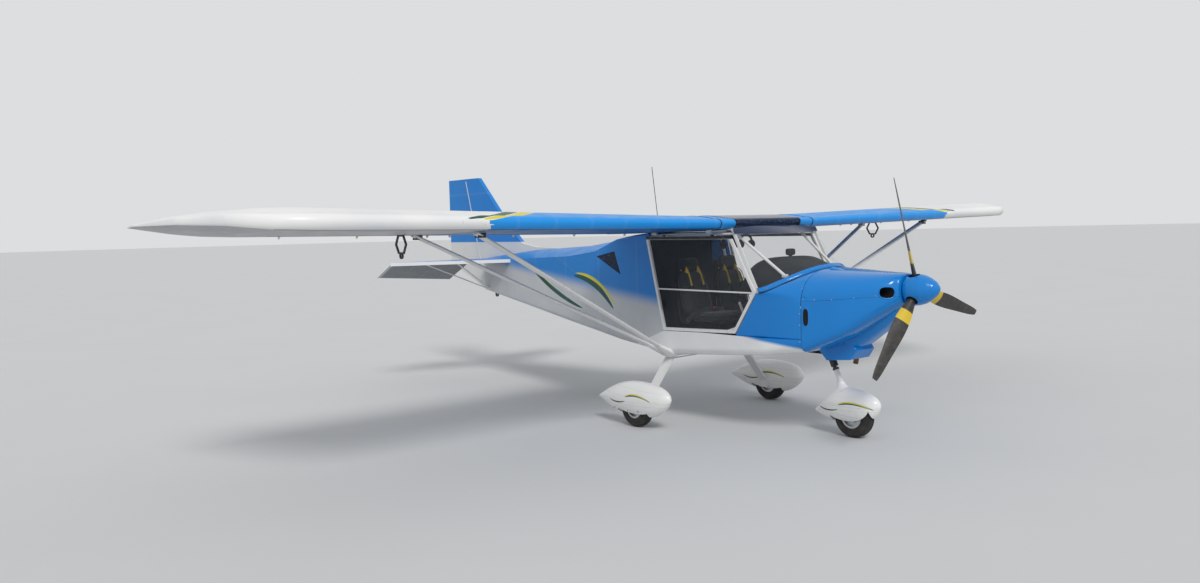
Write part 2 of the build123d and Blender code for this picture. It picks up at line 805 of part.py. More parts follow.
# Main landing gear
main_axle = (main_wheel_x, aft(main_wheel_aft), wheel_r)
leg_outer_x = main_wheel_x - wheel_wide / 2 - arch_gap - 22.0
leg_under_z = 590.0
with BuildPart() as port_leg:
    with BuildSketch(across(aft(main_wheel_aft) + leg_wide / 2)):
        with BuildLine():
            Polyline(
                (300.0, leg_under_z - leg_thick),
                (300.0, leg_under_z),
                (470.0, leg_under_z),
                (leg_outer_x, wheel_r + 30.0),
                (leg_outer_x, wheel_r - 35.0),
                (leg_outer_x - leg_thick, wheel_r - 35.0),
                (leg_outer_x - leg_thick, wheel_r + 28.0),
                (462.0, leg_under_z - leg_thick),
                close=True,
            )
        make_face()
    extrude(amount=leg_wide)
    with BuildSketch(side_plane(310.0)):
        with Locations((main_axle[1], leg_under_z + 8.0)):
            Rectangle(leg_wide - 20.0, 30.0)
    extrude(amount=140.0)
    with BuildSketch(side_plane(leg_outer_x)):
        with Locations((main_axle[1], main_axle[2])):
            Circle(axle_r)
    extrude(amount=main_wheel_x + wheel_wide / 2 + arch_gap - leg_outer_x)
    add(tub_form.part, mode=Mode.SUBTRACT)
save(both_sides(port_leg.part), "main_gear_legs")


def wheel(x, y, z):
    """Tyre and rim of one wheel, centred on a point of its axle."""
    centre = Plane(origin=(x, y, z), x_dir=(0, 1, 0), z_dir=(1, 0, 0))
    with BuildPart() as rim:
        with BuildSketch(centre.offset(-rim_wide / 2)):
            Circle(rim_r)
            Circle(axle_r + shaft_gap, mode=Mode.SUBTRACT)
        extrude(amount=rim_wide)
        with BuildSketch(centre.offset(rim_wide / 2 - 24.0)):
            Circle(rim_r - 14.0)
            Circle(34.0, mode=Mode.SUBTRACT)
        extrude(amount=24.0, mode=Mode.SUBTRACT)
        with BuildSketch(centre.offset(-rim_wide / 2)):
            Circle(rim_r - 14.0)
            Circle(34.0, mode=Mode.SUBTRACT)
        extrude(amount=24.0, mode=Mode.SUBTRACT)
    with BuildPart() as tyre:
        with BuildSketch(Plane(origin=(x, y, z), x_dir=(1, 0, 0), z_dir=(0, -1, 0))):
            with Locations((0, (wheel_r + rim_r) / 2)):
                RectangleRounded(wheel_wide, wheel_r - rim_r, 30.0)
            with Locations((0, rim_r + 15.0)):
                Rectangle(rim_wide, 30.0)
        revolve(axis=Axis(origin=(x, y, z), direction=(1, 0, 0)))
    return rim.part, tyre.part


# Spat sections. Columns: distance aft of the axle, half width, low, high.
main_spat_rows = [
    (-410.0, 9.0, 262.0, 286.0),
    (-372.0, 46.0, 206.0, 330.0),
    (-240.0, 90.0, 116.0, 380.0),
    (-20.0, 104.0, 84.0, 396.0),
    (200.0, 88.0, 108.0, 362.0),
    (400.0, 42.0, 168.0, 276.0),
    (495.0, 9.0, 200.0, 224.0),
]
nose_spat_rows = [
    (-243.0, 9.0, 262.0, 286.0),
    (-212.0, 46.0, 200.0, 330.0),
    (-100.0, 92.0, 122.0, 376.0),
    (40.0, 104.0, 100.0, 398.0),
    (170.0, 88.0, 112.0, 372.0),
    (300.0, 40.0, 142.0, 262.0),
    (372.0, 9.0, 168.0, 192.0),
]


def spat(axle, rows, arch_half):
    """Teardrop wheel fairing with an arch cut out for the wheel."""
    x, y, z = axle
    ribs = []
    for back, half, low, high in rows:
        with BuildSketch(across(y + back)) as outline:
            with Locations((x, (low + high) / 2)):
                Ellipse(half, (high - low) / 2)
        ribs.append(outline.sketch)
    with BuildPart() as form:
        loft(sections=ribs)
        with BuildSketch(side_plane(x - arch_half)):
            with Locations((y, z)):
                Circle(wheel_r + arch_gap)
            with Locations((y, z - wheel_r)):
                Rectangle(2 * (wheel_r + arch_gap), 2 * wheel_r)
        extrude(amount=2 * arch_half, mode=Mode.SUBTRACT)
    return form.part


arch_half = wheel_wide / 2 + arch_gap
with BuildPart() as port_spat:
    add(spat(main_axle, main_spat_rows, arch_half))
    with BuildSketch(side_plane(leg_outer_x - 60.0)):
        with Locations((main_axle[1], main_axle[2])):
            Circle(axle_r + seat_gap)
    extrude(amount=90.0, mode=Mode.SUBTRACT)
    add(port_leg.part, mode=Mode.SUBTRACT)
save(both_sides(port_spat.part), "main_spats")
port_rim, port_tyre = wheel(*main_axle)
save(port_rim, "port_rim")
save(port_tyre, "port_tyre")
save(mirror(port_rim, about=Plane.YZ), "starboard_rim")
save(mirror(port_tyre, about=Plane.YZ), "starboard_tyre")

# Nose gear: a leg that steers in a fixed sleeve, with a fork, wheel and spat
nose_axle = (0.0, aft(nose_wheel_aft), wheel_r)
steer_up = Vector(0, sin(radians(steer_rake)), cos(radians(steer_rake)))
leg_r = 21.0
sleeve_r = 30.0
fork_plate = 10.0
crown_up = wheel_r + arch_gap + 6.0
leg_line = Plane(origin=nose_axle, x_dir=(1, 0, 0), z_dir=steer_up)
fork_half = wheel_wide / 2 + 5.0
with BuildPart() as nose_leg:
    with BuildSketch(leg_line.offset(crown_up)):
        Rectangle(2 * (fork_half + fork_plate), 56.0)
    extrude(amount=26.0)
    for side in (-1, 1):
        with BuildSketch(side_plane(side * (fork_half + fork_plate / 2) - fork_plate / 2)):
            with BuildLine():
                half_strap = 22.0
                base = Vector(0, nose_axle[1], nose_axle[2])
                along = steer_up
                cross = Vector(0, cos(radians(steer_rake)), -sin(radians(steer_rake)))
                corners = [
                    base - along * 22.0 - cross * half_strap,
                    base - along * 22.0 + cross * half_strap,
                    base + along * (crown_up + 2.0) + cross * half_strap,
                    base + along * (crown_up + 2.0) - cross * half_strap,
                ]
                Polyline(*[(c.Y, c.Z) for c in corners], close=True)
            make_face()
        extrude(amount=fork_plate)
    with BuildSketch(side_plane(-fork_half - fork_plate)):
        with Locations((nose_axle[1], nose_axle[2])):
            Circle(axle_r)
    extrude(amount=2 * (fork_half + fork_plate))
    with BuildSketch(leg_line.offset(crown_up)):
        Circle(leg_r)
    extrude(amount=450.0)
save(nose_leg.part, "nose_leg")
with BuildPart() as nose_spat:
    add(spat(nose_axle, nose_spat_rows, fork_half + fork_plate + 2.0))
    with BuildSketch(leg_line.offset(crown_up - 20.0)):
        Rectangle(2 * (fork_half + fork_plate) + 2 * seat_gap, 56.0 + 2 * seat_gap)
    extrude(amount=46.0 + seat_gap, mode=Mode.SUBTRACT)
    with BuildSketch(leg_line.offset(crown_up)):
        Circle(leg_r + seat_gap)
    extrude(amount=200.0, mode=Mode.SUBTRACT)
save(nose_spat.part, "nose_spat")
nose_rim, nose_tyre = wheel(*nose_axle)
save(nose_rim, "nose_rim")
save(nose_tyre, "nose_tyre")
sleeve_low = 430.0
sleeve_length = 220.0
with BuildPart() as nose_sleeve:
    with BuildSketch(leg_line.offset(sleeve_low)):
        Circle(sleeve_r)
        Circle(leg_r + shaft_gap, mode=Mode.SUBTRACT)
    extrude(amount=sleeve_length)
save(nose_sleeve.part, "nose_sleeve")

# The sleeve is bedded in the outlet box and the tub
with BuildPart() as sleeve_bore:
    with BuildSketch(leg_line.offset(300.0)):
        Circle(sleeve_r)
    extrude(amount=500.0)
with BuildPart() as bored_tub:
    add(belly_tub.part)
    add(sleeve_bore.part, mode=Mode.SUBTRACT)
save(bored_tub.part, "belly_tub")
with BuildPart() as bored_box:
    add(outlet_box.part)
    add(sleeve_bore.part, mode=Mode.SUBTRACT)
save(bored_box.part, "outlet_box")

# Cabin frame of welded tubes, with the lugs and pins that the doors swing on
rail_z = 1648.0
rail_r = 11.0
rail_x = 511.0
post_x = 488.0
post_behind = 16.0
rear_post_foot = (post_x, aft(door_corners[3][0] + 30.0), 772.0)
rear_post_head = (post_x, aft(1000.0), rail_z - 16.0)
pillar_foot = (rail_x, aft(pillar_foot_aft + post_behind), pillar_foot_z - 20.0)
pillar_head = (rail_x, aft(pillar_head_aft - 4.0), rail_z)
cross_stations = (230.0, 900.0)
hinge_z = door_top_z + 6.0
hinge_stations = (150.0, 720.0)
knuckle_r = 6.0
knuckle_long = 44.0
door_lug_long = 8.0
with BuildPart() as port_frame:
    add(tube(pillar_foot, pillar_head, tube_r))
    add(tube(pillar_head, rear_post_head, rail_r))
    add(tube(rear_post_foot, rear_post_head, tube_r))
    for end in (pillar_head, rear_post_head):
        with Locations(end):
            Sphere(tube_r)
    for end in (pillar_foot, rear_post_foot):
        with BuildSketch(side_plane(end[0])):
            with Locations((end[1], end[2])):
                Rectangle(28.0, 36.0)
        extrude(amount=cabin_half - cabin_wall - end[0])
    for station in cross_stations:
        with Locations((rail_x - rail_r, aft(station), rail_z + 22.0)):
            Box(22.0, 60.0, 52.0)
    for station in hinge_stations:
        for near in (-knuckle_long / 2 - door_lug_long - seat_gap, knuckle_long / 2 + seat_gap):
            with BuildSketch(across(aft(station) + near)):
                with Locations((cabin_half, hinge_z)):
                    Circle(knuckle_r)
                with BuildLine():
                    Polyline(
                        (cabin_half, hinge_z - knuckle_r + 1.0),
                        (rail_x - rail_r, hinge_z - 2.0),
                        (rail_x - rail_r, hinge_z + 8.0),
                        (cabin_half, hinge_z + knuckle_r - 1.0),
                        close=True,
                    )
                make_face()
            extrude(amount=-door_lug_long)
        with BuildSketch(across(aft(station) - knuckle_long / 2 - door_lug_long)):
            with Locations((cabin_half, hinge_z)):
                Circle(pin_r)
        extrude(amount=-knuckle_long - 2 * door_lug_long)
    for block in (wing_centre, belly_tub, front_skin, rear_fuselage):
        add(block.part, mode=Mode.SUBTRACT)
with BuildPart() as cabin_frame:
    add(port_frame.part)
    mirror(about=Plane.YZ)
    for station in cross_stations:
        with BuildSketch(side_plane(rail_r - rail_x)):
            with Locations((aft(station), rail_z - rail_r / 2)):
                Circle(rail_r)
        extrude(amount=2 * (rail_x - rail_r))
    with BuildSketch(across(aft(cross_stations[0]))):
        with Locations((0, rail_z - rail_r / 2)):
            Circle(rail_r)
    extrude(amount=cross_stations[0] - cross_stations[1])
save(cabin_frame.part, "cabin_frame")

# Doors: a tube-like frame with a level bar and a clear panel, hung from the rail
glass_x = cabin_half - door_thick / 2 - glass_wall / 2
bar_z = 1172.0
with BuildPart() as door_bar:
    with BuildSketch(side_plane(1.0 - cabin_half)):
        with Locations((aft(280.0), bar_z)):
            Rectangle(1100.0, 12.0)
    extrude(amount=cabin_half - 1.0 - glass_x - glass_wall)
    add(door_prism(-2.0, -cabin_half, -cabin_half + door_thick), mode=Mode.INTERSECT)
with BuildPart() as starboard_door:
    add(door_prism(0.0, -cabin_half, -cabin_half + door_thick))
    add(door_prism(-door_frame, -cabin_half, -cabin_half + door_thick), mode=Mode.SUBTRACT)
    add(door_bar.part)
    for station in hinge_stations:
        with BuildSketch(across(aft(station) - knuckle_long / 2 - 2 * door_lug_long)):
            with Locations((-cabin_half, hinge_z)):
                Circle(knuckle_r + panel_gap)
        extrude(amount=-knuckle_long - 4 * door_lug_long, mode=Mode.SUBTRACT)
        with BuildSketch(across(aft(station) - knuckle_long / 2)):
            with Locations((-cabin_half, hinge_z)):
                Circle(knuckle_r)
            with Locations((-cabin_half + knuckle_r / 2, hinge_z - knuckle_r - 3.0)):
                Rectangle(knuckle_r, 2 * knuckle_r + 6.0)
            with Locations((-cabin_half, hinge_z)):
                Circle(pin_r + shaft_gap, mode=Mode.SUBTRACT)
        extrude(amount=-knuckle_long)
save(starboard_door.part, "starboard_door_frame")
save(mirror(starboard_door.part, about=Plane.YZ), "port_door_frame")
starboard_glass = door_prism(-door_frame, -glass_x - glass_wall, -glass_x)
save(starboard_glass, "starboard_door_glass")
save(mirror(starboard_glass, about=Plane.YZ), "port_door_glass")

# Instrument panel under a hood that follows the windshield's base
panel_rear_aft = -372.0
with BuildPart() as instrument_panel:
    add(front_hollow.part)
    add(half_space((0, aft(shield_side_aft), shield_side_z - 12.0), shield_base_up), mode=Mode.SUBTRACT)
    add(half_space((0, 0, 1075.0), (0, 0, -1)), mode=Mode.SUBTRACT)
    add(half_space((0, aft(panel_rear_aft), 0), (0, 1, 0)), mode=Mode.SUBTRACT)
    add(half_space((0, aft(-firewall_ahead + 30.0), 0), (0, -1, 0)), mode=Mode.SUBTRACT)
    with BuildSketch(side_plane(-400.0)):
        with Locations((aft(-510.0), 1100.0)):
            Rectangle(240.0, 170.0)
    extrude(amount=800.0, mode=Mode.SUBTRACT)
    add(cabin_frame.part, mode=Mode.SUBTRACT)
save(instrument_panel.part, "instrument_panel")

# Seats on their bases
seat_x = 250.0
seat_wide = 430.0
seat_points = [
    (150.0, 885.0),
    (150.0, 945.0),
    (560.0, 930.0),
    (700.0, 1440.0),
    (775.0, 1425.0),
    (645.0, 880.0),
    (560.0, 858.0),
]
with BuildPart() as port_seat:
    add(side_prism(seat_points, seat_x - seat_wide / 2, seat_x + seat_wide / 2))
    chamfer(port_seat.edges().filter_by(GeomType.LINE).group_by(Axis.Z)[-1], 20.0)
save(port_seat.part, "port_seat")
save(mirror(port_seat.part, about=Plane.YZ), "starboard_seat")
with BuildPart() as port_seat_base:
    cheek = [(200.0, 560.0), (200.0, 883.0), (230.0, 883.0), (560.0, 857.0), (600.0, 867.0), (600.0, 560.0)]
    for x in (seat_x - 180.0, seat_x + 160.0):
        add(side_prism(cheek, x, x + 20.0))
    add(port_seat.part, mode=Mode.SUBTRACT)
    add(tub_form.part, mode=Mode.INTERSECT)
    add(belly_tub.part, mode=Mode.SUBTRACT)
save(both_sides(port_seat_base.part), "seat_bases")

# Control sticks
stick_foot = (seat_x, aft(20.0), 652.0)
stick_knee = (seat_x, aft(30.0), 860.0)
stick_head = (seat_x, aft(130.0), 1060.0)
with BuildPart() as port_stick:
    add(tube(stick_foot, stick_knee, 11.0))
    add(tube(stick_knee, stick_head, 11.0))
    with Locations(stick_knee):
        Sphere(11.0)
    add(tube((seat_x, aft(20.0), 560.0), stick_foot, 24.0))
    add(tub_form.part, mode=Mode.INTERSECT)
    add(belly_tub.part, mode=Mode.SUBTRACT)
save(both_sides(port_stick.part), "control_sticks")

# Exhaust stub through the cowling
exhaust_r = 21.0
exhaust_top = (175.0, aft(-830.0), 1000.0)
exhaust_end = (175.0, aft(-742.0), 566.0)
with BuildPart() as exhaust:
    add(tube(exhaust_top, exhaust_end, exhaust_r))
    add(tube(exhaust_top, exhaust_end, exhaust_r - 2.0), mode=Mode.SUBTRACT)
    add(engine_block.part, mode=Mode.SUBTRACT)
save(exhaust.part, "exhaust")
with BuildPart() as bored_cowling:
    add(lower_cowling.part)
    add(tube(exhaust_top, exhaust_end, exhaust_r + 3.0), mode=Mode.SUBTRACT)
save(bored_cowling.part, "lower_cowling")

# Fairings round the feet of the wing struts
cuff_long = 150.0
cuff_grow = 8.0


def cuff(start, end, root_wide, root_thick):
    """Fairing that narrows from the body to the strut."""
    axis = (Vector(*end) - Vector(*start)).normalized()
    chordwise = Vector(0, 1, 0) - axis * axis.Y
    ribs = []
    for along, wide, thick in (
        (-60.0, root_wide, root_thick),
        (cuff_long, strut_wide + cuff_grow, strut_thick + cuff_grow),
    ):
        station = Plane(origin=Vector(*start) + axis * along, x_dir=chordwise, z_dir=axis)
        with BuildSketch(station) as outline:
            Ellipse(wide / 2, thick / 2)
        ribs.append(outline.sketch)
    return loft(sections=ribs, ruled=True)


with BuildPart() as port_cuffs:
    add(cuff(strut_foot, front_strut_top, 170.0, 74.0))
    add(cuff(rear_strut_foot, rear_strut_top, 130.0, 66.0))
    for block in (tub_form, port_front_strut, port_rear_strut):
        add(block.part, mode=Mode.SUBTRACT)
save(both_sides(port_cuffs.part), "strut_fairings")

# Whip antenna on the wing centre
with BuildPart() as antenna:
    add(tube((0, aft(1352.0), 1674.0), (0, aft(1438.0), 2295.0), 3.0))
    add(tube((0, aft(1350.0), 1674.0), (0, aft(1354.0), 1705.0), 14.0))
    add(wing_centre.part, mode=Mode.SUBTRACT)
    add(rear_form.part, mode=Mode.SUBTRACT)
save(antenna.part, "antenna")

# Tie-down brackets under the rear strut tops and the eye at the tail
eye_r = 12.0
bracket_x = 2990.0
bracket_thick = 12.0
bracket_aft = 985.0
bracket_z = 1640.0
with BuildPart() as port_bracket:
    with BuildSketch(side_plane(bracket_x)):
        with Locations((aft(bracket_aft), bracket_z)):
            RegularPolygon(82.0, 6)
            RegularPolygon(66.0, 6, mode=Mode.SUBTRACT)
        with Locations((aft(bracket_aft), bracket_z + 84.0)):
            Rectangle(60.0, 50.0)
        with Locations((aft(bracket_aft), bracket_z - 84.0)):
            Circle(eye_r + 12.0)
            Circle(eye_r, mode=Mode.SUBTRACT)
    extrude(amount=bracket_thick)
    add(wing_block.part, mode=Mode.SUBTRACT)
save(both_sides(port_bracket.part), "tie_down_brackets")

tail_eye_aft = 4120.0
tail_eye_z = 968.0
with BuildPart() as tail_eye:
    with BuildSketch(side_plane(-6.0)):
        with Locations((aft(tail_eye_aft), tail_eye_z)):
            Circle(30.0)
        with Locations((aft(tail_eye_aft), tail_eye_z + 25.0)):
            Rectangle(44.0, 60.0)
        with Locations((aft(tail_eye_aft), tail_eye_z)):
            Circle(eye_r, mode=Mode.SUBTRACT)
    extrude(amount=12.0)
    add(rear_form.part, mode=Mode.SUBTRACT)
save(tail_eye.part, "tail_eye")
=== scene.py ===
"""Looks of a high-wing ultralight aircraft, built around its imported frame.

Metres. +Z up, the nose points along -Y, the port wing along +X. Distances called aft are
measured from the wing's leading edge towards the tail.
"""

import logging
import math
from dataclasses import dataclass, field
from enum import Enum
from typing import Callable, Optional, Sequence

import bmesh
import bpy
import numpy as np
from mathutils import Matrix, Vector

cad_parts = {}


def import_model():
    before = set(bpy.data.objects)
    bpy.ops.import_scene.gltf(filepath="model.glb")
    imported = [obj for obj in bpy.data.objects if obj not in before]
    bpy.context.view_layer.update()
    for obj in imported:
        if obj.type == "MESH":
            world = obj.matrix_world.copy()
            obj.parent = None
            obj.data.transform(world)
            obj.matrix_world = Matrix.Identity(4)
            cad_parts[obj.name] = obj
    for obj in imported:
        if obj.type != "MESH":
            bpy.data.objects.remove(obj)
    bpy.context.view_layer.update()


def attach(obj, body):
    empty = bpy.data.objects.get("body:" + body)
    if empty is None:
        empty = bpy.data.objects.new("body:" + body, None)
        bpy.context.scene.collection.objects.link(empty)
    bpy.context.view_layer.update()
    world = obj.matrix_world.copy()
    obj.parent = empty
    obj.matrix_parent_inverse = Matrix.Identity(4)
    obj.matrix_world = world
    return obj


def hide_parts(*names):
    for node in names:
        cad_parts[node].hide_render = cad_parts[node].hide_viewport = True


log = logging.getLogger("aircraft")

Array = np.ndarray
Point = Sequence[float]
Socket = bpy.types.NodeSocket

WING_LE_Y = -1.7437
WING_LE_Z = 1.757
WING_ROOT_X = 0.604
INCIDENCE = math.radians(3.7)
DIHEDRAL = math.tan(math.radians(1.0))
WHEEL_R = 0.168
MAIN_AXLE = (0.890, WING_LE_Y + 0.748, WHEEL_R)
NOSE_AXLE = (0.0, WING_LE_Y - 0.847, WHEEL_R)
NOSE_RAKE = math.radians(25)
HUB = (0.0, WING_LE_Y - 1.411, 1.204)

# The wing against its solid: share of the crown's height that stays inboard and at the tip,
# and the distances aft between which this fades out.
CROWN_SHARE = (0.60, 0.90)
CROWN_EASE = (0.55, 1.05)
# How far the wing's nose sinks, how far aft that reaches, and how far the tip rises.
NOSE_DROOP = 0.026
NOSE_EASE = 0.5
TIP_LIFT = 0.045


def aft(distance: float | Array) -> float | Array:
    """Y of a point this far behind the wing's leading edge."""
    return WING_LE_Y + distance


def smooth_rows(rows: Sequence[Sequence[float]], count: int) -> Array:
    """Smooth curve through rows of numbers.

    Each value is the Catmull-Rom cubic of the four rows round it.

    Args:
        rows: the rows that the curve passes through.
        count: how many points come back, evenly shared between the rows.

    Returns:
        Array of count rows.
    """
    table = np.asarray(rows, float)
    table = np.vstack([2 * table[0] - table[1], table, 2 * table[-1] - table[-2]])
    t = np.linspace(0, len(rows) - 1, count)
    k = np.minimum(t.astype(int), len(rows) - 2)
    f = (t - k)[:, None]
    a, b, c, d = table[k], table[k + 1], table[k + 2], table[k + 3]
    return b + 0.5 * f * (c - a + f * (2 * a - 5 * b + 4 * c - d + f * (3 * (b - c) + d - a)))


def read_rows(rows: Sequence[Sequence[float]], at: Array) -> Array:
    """Values of a smooth table at places along its first column.

    Args:
        rows: table whose first column rises.
        at: places to read, any shape.

    Returns:
        Array of that shape with one more axis for the other columns.
    """
    dense = smooth_rows(rows, 240)
    return np.stack([np.interp(at, dense[:, 0], column) for column in dense.T[1:]], axis=-1)


def unit(vectors: Array) -> Array:
    """Vectors scaled to length one along the last axis."""
    return vectors / np.maximum(np.linalg.norm(vectors, axis=-1, keepdims=True), 1e-12)


def signed_power(values: Array, power: float) -> Array:
    """Values raised to a power with their sign kept."""
    return np.sign(values) * np.abs(values) ** power


def turns(count: int) -> Array:
    """Angles evenly round a full turn, the first one zero."""
    return np.linspace(0, 2 * np.pi, count, endpoint=False)


def spread(*parts: Array | float) -> Array:
    """Coordinates side by side along a new last axis, each stretched to one shape."""
    return np.stack(np.broadcast_arrays(*parts), axis=-1)


def eased(values: Array, low: float, high: float) -> Array:
    """Smooth fall from one at the low limit to zero at the high one."""
    t = np.clip((values - low) / (high - low), 0, 1)
    return 1 - t * t * (3 - 2 * t)


def shrunk(ring: Array, middle: Array, scales: Sequence[float]) -> Array:
    """Copies of a ring of points, each drawn in round a point by one of the scales."""
    return middle + np.asarray(scales)[:, None, None] * (ring - middle)


def flat_bar(half: float, low: float, high: float) -> Array:
    """Oblong section of a strap or a tape: its half width and the heights of both faces."""
    return np.array([(-half, low), (half, low), (half, high), (-half, high)])


class Graph:
    """Node tree of one material, written as a chain of calls."""

    def __init__(self, name: str) -> None:
        """Starts an empty tree with a Principled shader and its output."""
        self.material = bpy.data.materials.new(name)
        self.material.use_nodes = True
        self.tree = self.material.node_tree
        self.tree.nodes.clear()
        self.out = self.tree.nodes.new("ShaderNodeOutputMaterial")
        self.shader = self.tree.nodes.new("ShaderNodeBsdfPrincipled")
        self.tree.links.new(self.shader.outputs[0], self.out.inputs["Surface"])
        self.place = self.tree.nodes.new("ShaderNodeTexCoord").outputs["Object"]

    def put(self, socket: Socket, value: object) -> None:
        """Links a socket to another, or sets its value."""
        if isinstance(value, Socket):
            self.tree.links.new(value, socket)
        elif value is not None:
            socket.default_value = value

    def math(self, operation: str, a: object, b: object = None, c: object = None) -> Socket:
        """One Math node on up to three values."""
        node = self.tree.nodes.new("ShaderNodeMath")
        node.operation = operation
        for socket, value in zip(node.inputs, (a, b, c)):
            self.put(socket, value)
        return node.outputs[0]

    def axes(self) -> tuple:
        """X, Y and Z of the object's own coordinates."""
        node = self.tree.nodes.new("ShaderNodeSeparateXYZ")
        self.put(node.inputs[0], self.place)
        return tuple(node.outputs)

    def scaled(self, scale: Point) -> Socket:
        """Object coordinates stretched by a Mapping node."""
        node = self.tree.nodes.new("ShaderNodeMapping")
        self.put(node.inputs["Vector"], self.place)
        node.inputs["Scale"].default_value = scale
        return node.outputs[0]

    def texture(self, kind: str, scale: float, at: Optional[Socket] = None) -> bpy.types.Node:
        """Texture node of a kind at a scale per metre."""
        node = self.tree.nodes.new(f"ShaderNodeTex{kind}")
        self.put(node.inputs["Vector"], at or self.place)
        node.inputs["Scale"].default_value = scale
        return node

    def noise(
        self, scale: float, detail: float = 3.0, rough: float = 0.5, at: Optional[Socket] = None
    ) -> Socket:
        """Noise value at a scale per metre."""
        node = self.texture("Noise", scale, at)
        node.inputs["Detail"].default_value = detail
        node.inputs["Roughness"].default_value = rough
        return node.outputs["Fac"]

    def wave(self, scale: float, axis: str) -> Socket:
        """Sine bands across one axis at a scale per metre."""
        node = self.texture("Wave", scale)
        node.wave_type, node.bands_direction = "BANDS", axis
        return node.outputs["Fac"]

    def cells(self, scale: float) -> Socket:
        """Distance to the nearest cell centre."""
        return self.texture("Voronoi", scale).outputs["Distance"]

    def step(self, value: object, low: float, high: float, start: float = 0.0, end: float = 1.0) -> Socket:
        """Smooth step of a value from one level to another between two limits."""
        node = self.tree.nodes.new("ShaderNodeMapRange")
        node.interpolation_type = "SMOOTHSTEP"
        self.put(node.inputs["Value"], value)
        for name, number in (("From Min", low), ("From Max", high), ("To Min", start), ("To Max", end)):
            node.inputs[name].default_value = number
        return node.outputs["Result"]

    def band(self, value: object, low: float, high: float, soft: float) -> Socket:
        """One between two limits and zero outside, with soft edges."""
        rise = self.step(value, low - soft, low + soft)
        return self.math("MULTIPLY", rise, self.step(value, high - soft, high + soft, 1.0, 0.0))

    def stroke(self, start: Point, end: Point, bow: float, half: float) -> Socket:
        """Mask of a bowed stroke on the side of the aircraft, pointed at both ends.

        The share t runs along the line from start to end. The stroke follows the line plus
        bow times 4t(1 - t), and its half width is half times the root of the same.

        Args:
            start: distance aft and height of one end.
            end: distance aft and height of the other end.
            bow: how far the middle stands off the line, upwards.
            half: half width at the middle.

        Returns:
            Mask socket.
        """
        _, y, z = self.axes()
        run, rise = end[0] - start[0], end[1] - start[1]
        length = math.hypot(run, rise)
        back, up = run / length, rise / length
        begin = -(aft(start[0]) * back + start[1] * up) / length
        t = self.math("MULTIPLY_ADD", z, up / length, self.math("MULTIPLY_ADD", y, back / length, begin))
        t.node.use_clamp = True
        hump = self.math("MULTIPLY", self.math("MULTIPLY", t, 4.0), self.math("SUBTRACT", 1.0, t))
        side = math.copysign(1.0, -run)
        off = self.math("MULTIPLY_ADD", y, -side * up, side * (aft(start[0]) * up - start[1] * back))
        off = self.math("MULTIPLY_ADD", z, side * back, off)
        off = self.math("ABSOLUTE", self.math("MULTIPLY_ADD", hump, bow, off))
        inside = self.math("SUBTRACT", off, self.math("MULTIPLY", self.math("SQRT", hump), half))
        return self.step(inside, -0.0015, 0.0015, 1.0, 0.0)

    def mix(self, factor: object, a: object, b: object) -> Socket:
        """Colour between a and b."""
        node = self.tree.nodes.new("ShaderNodeMix")
        node.data_type = "RGBA"
        self.put(node.inputs[0], factor)
        for socket, value in ((node.inputs[6], a), (node.inputs[7], b)):
            self.put(socket, (*value, 1.0) if isinstance(value, tuple) else value)
        return node.outputs[2]

    def bump(self, height: object, distance: float, strength: float = 1.0, over: object = None) -> Socket:
        """Normal bent by a height in metres, on top of another bump."""
        node = self.tree.nodes.new("ShaderNodeBump")
        node.inputs["Distance"].default_value = distance
        node.inputs["Strength"].default_value = strength
        self.put(node.inputs["Height"], height)
        self.put(node.inputs["Normal"], over)
        return node.outputs[0]

    def finish(self, **sockets: object) -> bpy.types.Material:
        """Sets the shader's sockets by name, spaces written as underscores."""
        for name, value in sockets.items():
            socket = self.shader.inputs[name.replace("_", " ")]
            self.put(socket, (*value, 1.0) if isinstance(value, tuple) and len(value) == 3 else value)
        return self.material


AZURE = (0.006, 0.215, 0.64)
WING_AZURE = (0.016, 0.30, 0.80)
DEEP_AZURE = (0.007, 0.15, 0.48)
PAINT_WHITE = (0.85, 0.85, 0.84)
SOFT_GREY = (0.56, 0.58, 0.60)
STRIPE_GREEN = (0.006, 0.075, 0.035)
STRIPE_YELLOW = (0.72, 0.62, 0.02)
BLACK = (0.012, 0.012, 0.013)
DUST = (0.42, 0.37, 0.30)

WING_EDGE = (2.874, 2.880)
TAIL_EDGE = (1.318, 1.322)
CHORD_SLOPE = -0.0645
# Painted strokes: start, end, bow, half width and paint.
SIDE_STROKES = (
    ((3.15, 1.36), (2.06, 0.93), -0.05, 0.024, STRIPE_GREEN),
    ((2.20, 1.25), (1.50, 0.955), 0.075, 0.030, STRIPE_GREEN),
    ((2.16, 1.275), (1.46, 0.985), 0.078, 0.017, STRIPE_YELLOW),
)
SPAT_STROKES = (
    ((0.80, 0.262), (0.50, 0.247), 0.030, 0.0085, STRIPE_GREEN),
    ((1.03, 0.222), (0.80, 0.226), -0.016, 0.006, STRIPE_GREEN),
    ((0.81, 0.270), (0.52, 0.254), 0.030, 0.0050, STRIPE_YELLOW),
)
NOSE_SPAT_SHIFT = -1.56


class Zones(Enum):
    """Which colour scheme a painted surface wears."""

    WING = "wing"
    # Wing underside: the wing's paint darkened as painted shade.
    WING_SHADED_UNDER = "wing_under_shade"
    FUSELAGE = "fuselage"
    TUB = "tub"
    FIN = "fin"
    TAIL = "tail"
    PLAIN_BLUE = "plain_blue"
    PLAIN_WHITE = "plain_white"
    # Tail undersides: grey of painted shade.
    SHADED_UNDER = "under"
    COWL = "cowl"
    SPAT = "spat"


